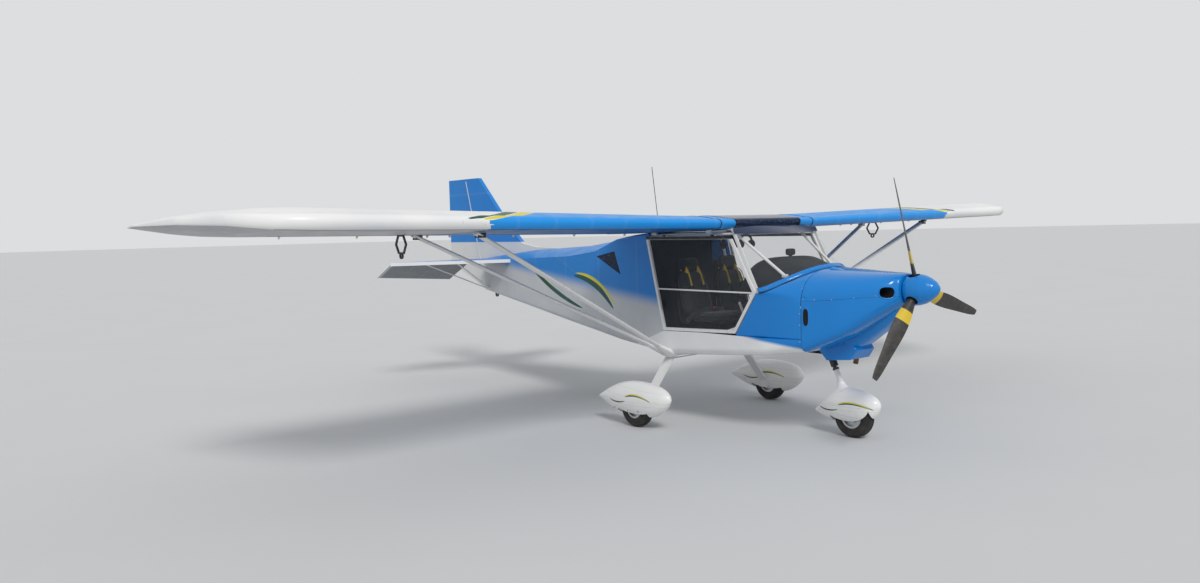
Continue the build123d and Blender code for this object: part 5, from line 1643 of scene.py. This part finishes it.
@dataclass
class Cabin:
    """Seats, belts, panel, hood and the small things in the cabin."""

    finishes: Finishes
    seat_x: float = 0.250
    half_wide: float = 0.205

    def build(self) -> None:
        """Builds everything inside the doors."""
        for side, x in (("port", self.seat_x), ("starboard", -self.seat_x)):
            self.seat(side, x)
            self.belts(side, x)
            self.stick(side, x)
        self.lining()
        self.binnacle()
        self.overhead()
        self.pedals()
        self.braces()

    def braces(self) -> None:
        """White channels up the pillars and the brace tubes behind the windshield."""
        shape = Shape()
        right = [(0.015, -0.003), (0.015, 0.003), (0.010, 0.0045)]
        channel = [*right, *((-x, z) for x, z in reversed(right))]
        for sign in (-1, 1):
            pillar = [(sign * 0.5315, aft(-0.318), 1.172), (sign * 0.5315, aft(-0.075), 1.644)]
            shape.sweep(pillar, channel, up=(sign, 0, 0))
            line = np.array([(sign * 0.4335, aft(0.053), 1.691), (sign * 0.359, aft(-0.454), 1.304)])
            shape.tube(line, 0.0125, 16)
            for end in line:
                shape.block(end - (0.016, 0.024, 0.014), end + (0.016, 0.024, 0.014), 0.006)
            corner = spread(sign * 0.527, aft(np.array([-0.105, 0.075, -0.135])), [0.836, 0.836, 0.905])
            plate = np.concatenate([corner, corner - (sign * 0.006, 0, 0)])
            shape.add(plate, [[0, 1, 4, 3], [1, 2, 5, 4], [2, 0, 3, 5]]).add(plate, [[0, 1, 2], [5, 4, 3]])
        shape.build("cabin_braces", "airframe", self.finishes.pick("white_tube"), 40)

    def seat(self, side: str, x: float) -> None:
        """Cushion, back and head pad with piping and sewn channels, on a black shell."""
        cloth = self.finishes["seat_cloth"]
        back_way, face = (0.0, 0.255, 0.967), (0.0, -0.967, 0.255)
        half = (self.half_wide - 0.008, 0.200, 0.036)
        cushion = Pad((x, aft(0.360), 0.925), (0, 1, -0.04), (0, 0.04, 1), half)
        back = Pad((x, aft(0.655), 1.125), back_way, face, half, 0.14)
        head = Pad((x, aft(0.722), 1.378), back_way, face, (0.118, 0.056, 0.030), 0.12)
        first = cushion.made(f"{side}_cushion", cloth, 0.7, 0.010)
        second = back.made(f"{side}_backrest", cloth, 0.7, 0.010)
        head.made(f"{side}_head_pad", cloth, 0.8, 0.006)
        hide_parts(f"{side}_seat")
        piping = Shape()
        for pad in (cushion, back, head):
            piping.tube(pad.rim(0.42), 0.0035, 8, up=pad.thick_way, loop=True)
        across = np.linspace(-0.86, 0.86, 16)
        for share in (-0.45, 0.0, 0.45):
            for pad in (cushion, back):
                line = pad.place(across, share, 1.03 - 0.10 * across**2)
                piping.tube(line, 0.0028, 8, up=pad.thick_way)
        piping.build(f"{side}_piping", "airframe", self.finishes.pick("black_vinyl"))
        self.shell(side, x)

    def shell(self, side: str, x: float) -> None:
        """Thin black pan under the cushion and behind the back, its edges turned in."""
        knots = np.array(
            [[0.16, 0.40, 0.575, 0.648, 0.700, 0.748, 0.775], [0.878, 0.868, 0.862, 0.90, 1.06, 1.25, 1.40]]
        )
        line, u = smooth_rows(knots.T, 40), np.linspace(-1, 1, 14)
        shares = ([1, 1, 0.62], [0, 1, 1], [1, 0.4, 0])
        wide, back, rise = (np.interp(np.arange(40), [0, 20, 39], v)[:, None] for v in shares)
        y = aft(line[:, :1]) - 0.010 * u**4 * back
        pan = Shape().grid(spread(x + self.half_wide * wide * u, y, line[:, 1:] + 0.012 * u**4 * rise))
        pan.build(f"{side}_seat_shell", "airframe", self.finishes.pick("black_vinyl"), wall=0.004)

    def belts(self, side: str, x: float) -> None:
        """Two shoulder straps over the backrest, a lap strap, adjusters and the buckle."""
        straps, webbing, metal = Shape(), Shape(), Shape()
        flat = flat_bar(0.022, -0.0012, 0.0012)
        share = np.array([0.9, 0.95, 1.0, 1.0, 0.75, 0.35])
        back = np.array([0.775, 0.722, 0.668, 0.600, 0.548, 0.470])
        rise = np.array([1.335, 1.350, 1.300, 1.120, 1.010, 0.985])
        for off in (-0.075, 0.075):
            path = smooth_rows(spread(x + off * share, aft(back), rise), 60)
            straps.sweep(path[:32], flat, up=(1, 0, 0))
            webbing.sweep(path[31:], flat, up=(1, 0, 0))
            middle = path[32]
            metal.block(middle - (0.027, 0.010, 0.017), middle + (0.027, 0.004, 0.017), 0.004)
        across, back = np.array([-0.21, -0.17, 0.0, 0.17, 0.21]), np.array([0.56, 0.46, 0.435, 0.46, 0.56])
        lap = smooth_rows(spread(x + across, aft(back), [0.885, 0.965, 0.985, 0.965, 0.885]), 40)
        webbing.sweep(lap, flat[:, ::-1], up=(0, 0, 1))
        place, way = (x, aft(0.428), 0.992), (0, -0.5, 0.86)
        buckle = [(0, 0.012), (0.026, 0.010), (0.030, 0.004), (0.030, -0.006), (0, -0.006)]
        metal.turned(buckle, place, way, 28)
        metal.turned([(0, 0.016), (0.011, 0.015), (0.012, 0.010)], place, way, 20, slot=1)
        straps.build(f"{side}_straps", "airframe", self.finishes.pick("belt_yellow"))
        webbing.build(f"{side}_webbing", "airframe", self.finishes.pick("belt_black"))
        metal.build(f"{side}_buckles", "airframe", self.finishes.pick("black_vinyl", "red_plastic"))

    def stick(self, side: str, x: float) -> None:
        """Ribbed grip with a button, and the rubber boot at the stick's foot."""
        shape, s = Shape(), np.linspace(0, 1, 50)
        path = spread(x, aft(0.030) + 0.022 * s**2, 0.960 + 0.098 * s)
        radius = 0.0165 + 0.0014 * np.sin(s * 34) - 0.003 * s
        shape.tube(path, 1.0, 18, size=radius, up=(1, 0, 0))
        boot = [(0.052, 0.0), (0.048, 0.012), (0.040, 0.016), (0.040, 0.026), (0.030, 0.032), (0.030, 0.042)]
        shape.turned([*boot, (0.016, 0.05), (0.012, 0.05)], (x, aft(0.020), 0.656), (0, 0, 1), 30)
        button = path[-1] - (math.copysign(0.004, x), 0.004, 0.002)
        shape.turned([(0, 0.010), (0.006, 0.009), (0.006, 0.0)], button, (0, -0.3, 0.95), 14, slot=1)
        shape.build(f"{side}_grip", "airframe", self.finishes.pick("black_vinyl", "red_plastic"))

    def lining(self) -> None:
        """Dark inner faces: floor mat, side and rear trim, near black as painted shade of the cabin."""
        at = np.linspace(-0.655, 0.745, 60)[:, None]
        wide = np.interp(at, [-0.69, -0.35, -0.10, 0.80], [0.425, 0.480, 0.526, 0.524])
        floor = np.interp(at, [-0.69, -0.35, 0.70, 1.1], [0.735, 0.688, 0.612, 0.628])
        top = np.interp(at, [-0.66, -0.36, -0.09, 0.76], [1.10, 1.08, 0.800, 0.790])
        t = np.linspace(-1, 1, 41)
        x = wide * np.sign(t) * np.clip(np.abs(t) * 1.6, 0, 1) ** 0.8
        z = floor + (top - floor) * np.clip(np.abs(t) * 1.6 - 0.6, 0, 1) ** 1.3
        trim = Shape().grid(spread(x, aft(at), z), flip=True)
        u, v = np.linspace(-1, 1, 30)[:, None], np.linspace(0, 1, 30)
        trim.grid(spread(0.500 * u, aft(1.05 + 0.10 * v + 0.006 * np.sin(26 * u + 3 * v)), 0.66 + 0.96 * v))
        # Lining near black: dark trim darkened further as painted shade of the cabin.
        looks = self.finishes.pick("inner_dark")
        trim.build("cabin_lining", "airframe", looks, 60, wall=0.003, outward=False)
        self.console()

    def console(self) -> None:
        """Rounded console between the seats with its two knobs."""
        knots = (
            (-0.62, 0.09, 1.10),
            (-0.36, 0.075, 1.02),
            (-0.15, 0.055, 0.86),
            (0.10, 0.045, 0.80),
            (0.50, 0.040, 0.86),
        )
        rows, foot, w = smooth_rows(knots, 30), 0.66, np.linspace(0, np.pi, 24)
        z = foot + (rows[:, 2:3] - foot) * signed_power(np.sin(w), 0.35)
        console = spread(rows[:, 1:2] * signed_power(np.cos(w), 0.5), aft(rows[:, :1]), z)
        ends = np.repeat(console.mean(axis=1, keepdims=True), 24, axis=1)
        shape = Shape().grid(np.concatenate([ends[:1], console, ends[-1:]]))
        for slot, place, (cap, rim, stem) in (
            (1, (0.02, aft(0.0), 0.86), (0.015, 0.018, 0.006)),
            (2, (-0.02, aft(-0.08), 0.88), (0.012, 0.014, 0.005)),
        ):
            knob = [(0, 0.05), (cap, 0.045), (rim, 0.03), (stem, 0.02), (stem, -0.04)]
            shape.turned(knob, place, (0, 0.15, 1), 20, slot=slot)
        shape.build("console", "airframe", self.finishes.pick("black_vinyl", "red_plastic", "dial_white"), 50)

    def binnacle(self) -> None:
        """Black hood over the panel, its rounded rear face with dials, and the compass."""
        rows = smooth_rows(
            [
                (-0.600, 0.20, 1.325),
                (-0.500, 0.30, 1.375),
                (-0.380, 0.37, 1.418),
                (-0.270, 0.43, 1.446),
                (-0.190, 0.448, 1.446),
                (-0.158, 0.440, 1.436),
            ],
            40,
        )
        crest, lean, t = 1.446, 0.42, np.linspace(0, np.pi, 60)
        foot = np.interp(rows[:, :1], [-0.6, -0.158], [1.25, 1.13])
        z = foot + (rows[:, 2:3] - foot) * signed_power(np.sin(t), 0.62)
        grid = spread(rows[:, 1:2] * signed_power(np.cos(t), 0.50), aft(rows[:, :1]), z)
        grid[..., 1] += np.linspace(0, 1, 40)[:, None] * lean * (crest - grid[..., 2])
        front = np.repeat(grid[:1].mean(axis=1, keepdims=True), 60, axis=1)
        rings = shrunk(grid[-1], grid[-1].mean(axis=0), (0.985, 0.96, 0.95, 0.0))
        back = np.array([0.004, 0.004, -0.012, -0.012])[:, None]
        rings[..., 1] = aft(-0.158) + back + lean * (crest - rings[..., 2])
        shape = Shape().grid(np.concatenate([front, grid])).grid(np.concatenate([grid[-1:], rings]))
        shape.build("panel_hood", "airframe", self.finishes.pick("black_vinyl"), 50)
        dials, face = Shape(), (0, 0.922, 0.387)
        for x, z in ((x, z) for x in (-0.30, -0.20, -0.10, 0.02, 0.13, 0.24) for z in (1.205, 1.300)):
            place = (x, aft(-0.170) + lean * (crest - z), z)
            dials.turned([(0.036, 0.0), (0.039, 0.005), (0.036, 0.008), (0.033, 0.004)], place, face, 28)
            dials.turned([(0.033, 0.0035), (0.0, 0.0035)], place, face, 28, slot=1)
            needle = np.array([place, (x + 0.014, place[1] - 0.0067, z + 0.016)]) + (0, 0.0045, 0.0019)
            dials.tube(needle, 0.0012, 6, slot=2)
        looks = self.finishes.pick("black_vinyl", "inner_dark", "dial_white")
        dials.build("dials", "airframe", looks, outward=False)
        compass = Shape().block((-0.040, aft(-0.255), 1.456), (0.040, aft(-0.195), 1.512), 0.018)
        compass.block((-0.014, aft(-0.235), 1.436), (0.014, aft(-0.215), 1.462), 0.004)
        lens = [(0.022, 0.0), (0.024, 0.003), (0.020, 0.004), (0, 0.004)]
        compass.turned(lens, (0, aft(-0.196), 1.484), (0, 1, 0), 24, slot=1)
        compass.build("compass", "airframe", self.finishes.pick("black_vinyl", "dial_white"))

    def overhead(self) -> None:
        """Two pairs of ear cups on hooks under the roof with a red handle between them."""
        shape, t = Shape(), np.linspace(-0.15, np.pi + 0.15, 30)
        cup = [(0, 0.022), (0.022, 0.020), (0.034, 0.008), (0.036, -0.006), (0.030, -0.020), (0.014, -0.022)]
        for x, a in ((-0.255, 0.235), (-0.055, 0.215)):
            band = spread(x + 0.078 * np.cos(t), aft(a), 1.572 + 0.060 * np.sin(t))
            shape.sweep(band, flat_bar(0.010, -0.003, 0.004), up=(0, 1, 0))
            for sign in (-1, 1):
                shape.turned([*cup, (0, -0.020)], (x + sign * 0.074, aft(a), 1.553), (sign, 0, 0.12), 26)
            shape.tube([(x, aft(a), 1.630), (x, aft(a), 1.668)], 0.003, 8)
        handle = [(0, 0.045), (0.011, 0.042), (0.012, 0.0), (0.010, -0.042), (0, -0.045)]
        shape.turned(handle, (-0.155, aft(0.225), 1.570), (0, 0, 1), 18, slot=1)
        shape.tube([(-0.155, aft(0.225), 1.612), (-0.155, aft(0.225), 1.668)], 0.003, 8)
        shape.build("headsets", "airframe", self.finishes.pick("black_vinyl", "red_plastic"))

    def pedals(self) -> None:
        """Rudder pedals ahead of the seats."""
        shape = Shape()
        for x in (-0.34, -0.18, 0.18, 0.34):
            shape.block((x - 0.042, aft(-0.435), 0.800), (x + 0.042, aft(-0.423), 0.915), 0.006)
            shape.tube(np.array([(x, aft(-0.430), 0.860), (x, aft(-0.455), 0.700)]), 0.008, 12, slot=1)
        shape.build("pedals", "airframe", self.finishes.pick("bare_metal", "dark_metal"))


@dataclass
class Gear:
    """Small parts of the landing gear: fairing, bolts, discs, rods and links."""

    finishes: Finishes

    def build(self) -> None:
        """Builds the gear's details."""
        self.nose_fairing()
        for side, x in (("port", MAIN_AXLE[0]), ("starboard", -MAIN_AXLE[0])):
            self.hub(f"{side}_wheel", (x, MAIN_AXLE[1], WHEEL_R))
            self.main_details(side, math.copysign(1.0, x))
        self.hub("nose_wheel", NOSE_AXLE)
        self.nose_link()

    def nose_fairing(self) -> None:
        """Peaked collar that rises from the nose spat round its leg.

        Each level is an ellipse round the raked leg. Its reach shrinks with the square of the
        share of the height that is left.
        """
        share, t = np.linspace(0, 1, 26)[:, None], turns(60)
        z = 0.318 + 0.122 * share
        middle = NOSE_AXLE[1] + (z - WHEEL_R) * math.tan(NOSE_RAKE)
        left = (1 - share) ** 1.7
        reach = 0.030 + np.where(np.sin(t) > 0, 0.150, 0.120) * left
        grid = spread((0.026 + 0.056 * left) * np.cos(t), middle + reach * np.sin(t), z)
        inner = grid[-1:].copy()
        inner[..., 0] *= 0.86
        inner[..., 1] = middle[-1] + 0.86 * (inner[..., 1] - middle[-1])
        shape = Shape().grid(np.concatenate([grid, inner, inner - (0, 0, 0.02)]), wrap_v=True)
        shape.build("nose_leg_fairing", "nose_fork", self.finishes.pick("white_shell"), 60)

    def hub(self, body: str, axle: Point) -> None:
        """Hub caps, rim bolts, valve and raised rings on both sides of one wheel."""
        shape, centre = Shape(), np.array(axle, float)
        cap = [(0, 0.022), (0.014, 0.021), (0.020, 0.015), (0.022, 0.004), (0.022, -0.01)]
        for sign in (-1.0, 1.0):
            face, t = centre + (sign * 0.030, 0, 0), turns(6)
            shape.turned(cap, face, (sign, 0, 0), 26)
            ring = face + spread(sign * 0.001, 0.046 * np.cos(t), 0.046 * np.sin(t))
            shape.studs(ring, (sign, 0.0, 0.0), 0.0055, 0.005, slot=1)
            for radius in (0.112, 0.132):
                ridge = radius + np.array([-0.003, -0.0015, 0.0015, 0.003])
                ridge = spread(ridge, np.array([-0.002, 0.0008, 0.0008, -0.002]))
                shape.turned(ridge, centre + (sign * 0.0485, 0, 0), (sign, 0, 0), 64, slot=2)
        shape.tube([centre + (0.030, 0.060, 0), centre + (0.046, 0.064, 0)], 0.0035, 10, slot=1)
        looks = self.finishes.pick("bare_metal", "bolt_metal", "rubber")
        shape.build(f"{body}_hub", body, looks, outward=False)

    def main_details(self, side: str, sign: float) -> None:
        """Bolts on the spat, the clamp at the leg's root and the drag rod."""
        shape = Shape()
        depth = np.array([0.100, 0.093, 0.092, 0.080])
        back, z = np.array([0.02, 0.115, -0.10, 0.21]), np.array([0.150, 0.142, 0.150, 0.152])
        centres = spread(sign * (MAIN_AXLE[0] + depth), MAIN_AXLE[1] + back, z)
        shape.studs(centres, (sign, 0.0, -0.25), 0.0065, 0.003)
        root = np.array([sign * 0.478, MAIN_AXLE[1], 0.583])
        for off in (-0.036, 0.036):
            shape.studs(root + (0, off, 0.004), (sign * 0.6, 0, -0.8), 0.008, 0.006)
        shape.tube([(sign * 0.505, aft(0.690), 0.560), (sign * 0.30, aft(0.30), 0.640)], 0.0055, 12, slot=1)
        shape.build(f"{side}_gear_details", "airframe", self.finishes.pick("bolt_metal", "bare_metal"))

    def nose_link(self) -> None:
        """Black shock link ahead of the nose leg and its clamp bolts."""
        shape, base = Shape(), np.array(NOSE_AXLE)
        up = np.array([0, math.sin(NOSE_RAKE), math.cos(NOSE_RAKE)])
        for reach in (0.405, 0.435):
            clamp = [(0.0215, -0.008), (0.027, -0.006), (0.027, 0.006), (0.0215, 0.008)]
            shape.turned(clamp, base + up * reach, up, 28)
        link = [(0, 0.010), (0.014, 0.009), (0.016, 0.0), (0.014, -0.009), (0, -0.010)]
        shape.turned(link, base + up * 0.42 + (-0.030, -0.018, 0), (1, 0, 0), 22)
        shape.build("nose_link", "nose_fork", self.finishes.pick("dark_metal"))


@dataclass
class Airframe:
    """Smooth skins of wing, fuselage and tail, with hinge brackets, tape, forks and screws."""

    finishes: Finishes

    def build(self) -> None:
        """Builds the details."""
        for node, body, finish in (
            ("rear_fuselage", "airframe", "fuselage_cloth"),
            ("belly_tub", "airframe", "tub_shell"),
            ("fin", "airframe", "fin_cloth"),
            ("main_spats", "airframe", "spat_shell"),
            ("nose_spat", "nose_fork", "spat_shell"),
            ("spinner", "propeller", "blue_shell"),
            ("strut_fairings", "airframe", "white_shell"),
            ("front_struts", "airframe", "white_tube"),
            ("rear_struts", "airframe", "white_tube"),
        ):
            smooth_copy(node, body, self.finishes[finish])
        # Faces of the tail that look down take the dark grey finish: painted shade.
        for node, body in (("stabilizer", "airframe"), ("elevator", "elevator")):
            smooth_copy(node, body, self.finishes["tail_cloth"], under=self.finishes["shaded_under_cloth"])
        # Faces of the wing that look down take the darker finish: painted shade.
        top, under = self.finishes["wing_cloth"], self.finishes["wing_under_shade"]
        for side in ("port", "starboard"):
            smooth_copy(f"{side}_wing", "airframe", top, under=under, bend=lowered_crown, down=-0.86)
            smooth_copy(f"{side}_flap", f"{side}_flap", top, under=under)
            smooth_copy(f"{side}_aileron", f"{side}_aileron", top, under=under)
        self.brackets()
        self.seams()
        self.strut_ends()
        self.door_fittings()

    def brackets(self) -> None:
        """Hinge brackets under the flap and aileron line of both wings."""
        shape = Shape()
        profile = ((-0.060, 0.008), (-0.026, 0.006), (-0.028, -0.010), (-0.042, -0.010))
        for x in (0.70, 1.28, 1.92, 2.52, 2.72, 3.30, 3.88):
            z = WING_LE_Z - 1.12 * math.sin(INCIDENCE) - 0.030 + (x - WING_ROOT_X) * DIHEDRAL
            ring = np.array([[(x + s * 0.003, aft(1.115) + a, z + h) for a, h in profile] for s in (-1, 1)])
            shape.grid(ring, wrap_v=True)
            shape.add(ring[0], [[0, 1, 2, 3]]).add(ring[1], [[3, 2, 1, 0]])
        shape.mirrored().build("hinge_brackets", "airframe", self.finishes.pick("white_tube"))

    def seams(self) -> None:
        """White line of the rudder hinge on both sides."""
        shape = Shape()
        for sign in (-1, 1):
            line = np.array([(sign * 0.0262, aft(4.323), 1.075), (sign * 0.0262, aft(4.678), 2.318)])
            shape.sweep(line, flat_bar(0.006, -0.0008, 0.0008), up=(sign, 0, 0))
        shape.build("fin_post_tape", "airframe", self.finishes.pick("white_tube"))

    def strut_ends(self) -> None:
        """Fork plates and bolts at the upper ends of the struts."""
        shape = Shape()
        for sign in (-1, 1):
            for (x, back, z), size in (((2.795, 0.238, 1.694), 1.0), ((2.835, 1.020, 1.684), 0.9)):
                centre = np.array([sign * x, aft(back), z])
                for off in (-0.020, 0.020):
                    low = centre + (-0.034 * size, off - 0.003, -0.016)
                    shape.block(low, centre + (0.034 * size, off + 0.003, 0.020), 0.003)
                shape.tube([centre + (0, -0.028, 0), centre + (0, 0.028, 0)], 0.007, 12, slot=1)
        shape.build("strut_forks", "airframe", self.finishes.pick("dark_metal", "bolt_metal"))

    def door_fittings(self) -> None:
        """Latch handle and the rows of small screws on each door."""
        back = np.concatenate([np.linspace(0.0, 0.70, 8), np.linspace(0.03, 0.90, 8)])
        z = np.concatenate([np.linspace(0.842, 0.822, 8), np.full(8, 1.620)])
        for side, sign in (("port", 1.0), ("starboard", -1.0)):
            x = sign * 0.5515
            shape = Shape().block((x - 0.004, aft(0.735), 1.000), (x + 0.004, aft(0.755), 1.060), 0.0035)
            shape.studs(spread(sign * 0.5502, aft(back), z), (sign, 0.0, 0.0), 0.0032, 0.0012, slot=1)
            looks = self.finishes.pick("seal_black", "bolt_metal")
            shape.build(f"{side}_door_fittings", f"{side}_door", looks)


def main() -> None:
    """Builds the looks in order."""
    logging.basicConfig(level=logging.INFO, format="%(name)s %(message)s")
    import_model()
    Stage().build()
    finishes = Finishes()
    Dressing(finishes).build()
    nose = Nose(finishes)
    nose.build()
    FrontShell(finishes, nose).build()
    Roof(finishes).build()
    Cabin(finishes).build()
    Gear(finishes).build()
    Airframe(finishes).build()


if __name__ == "__main__":
    main()
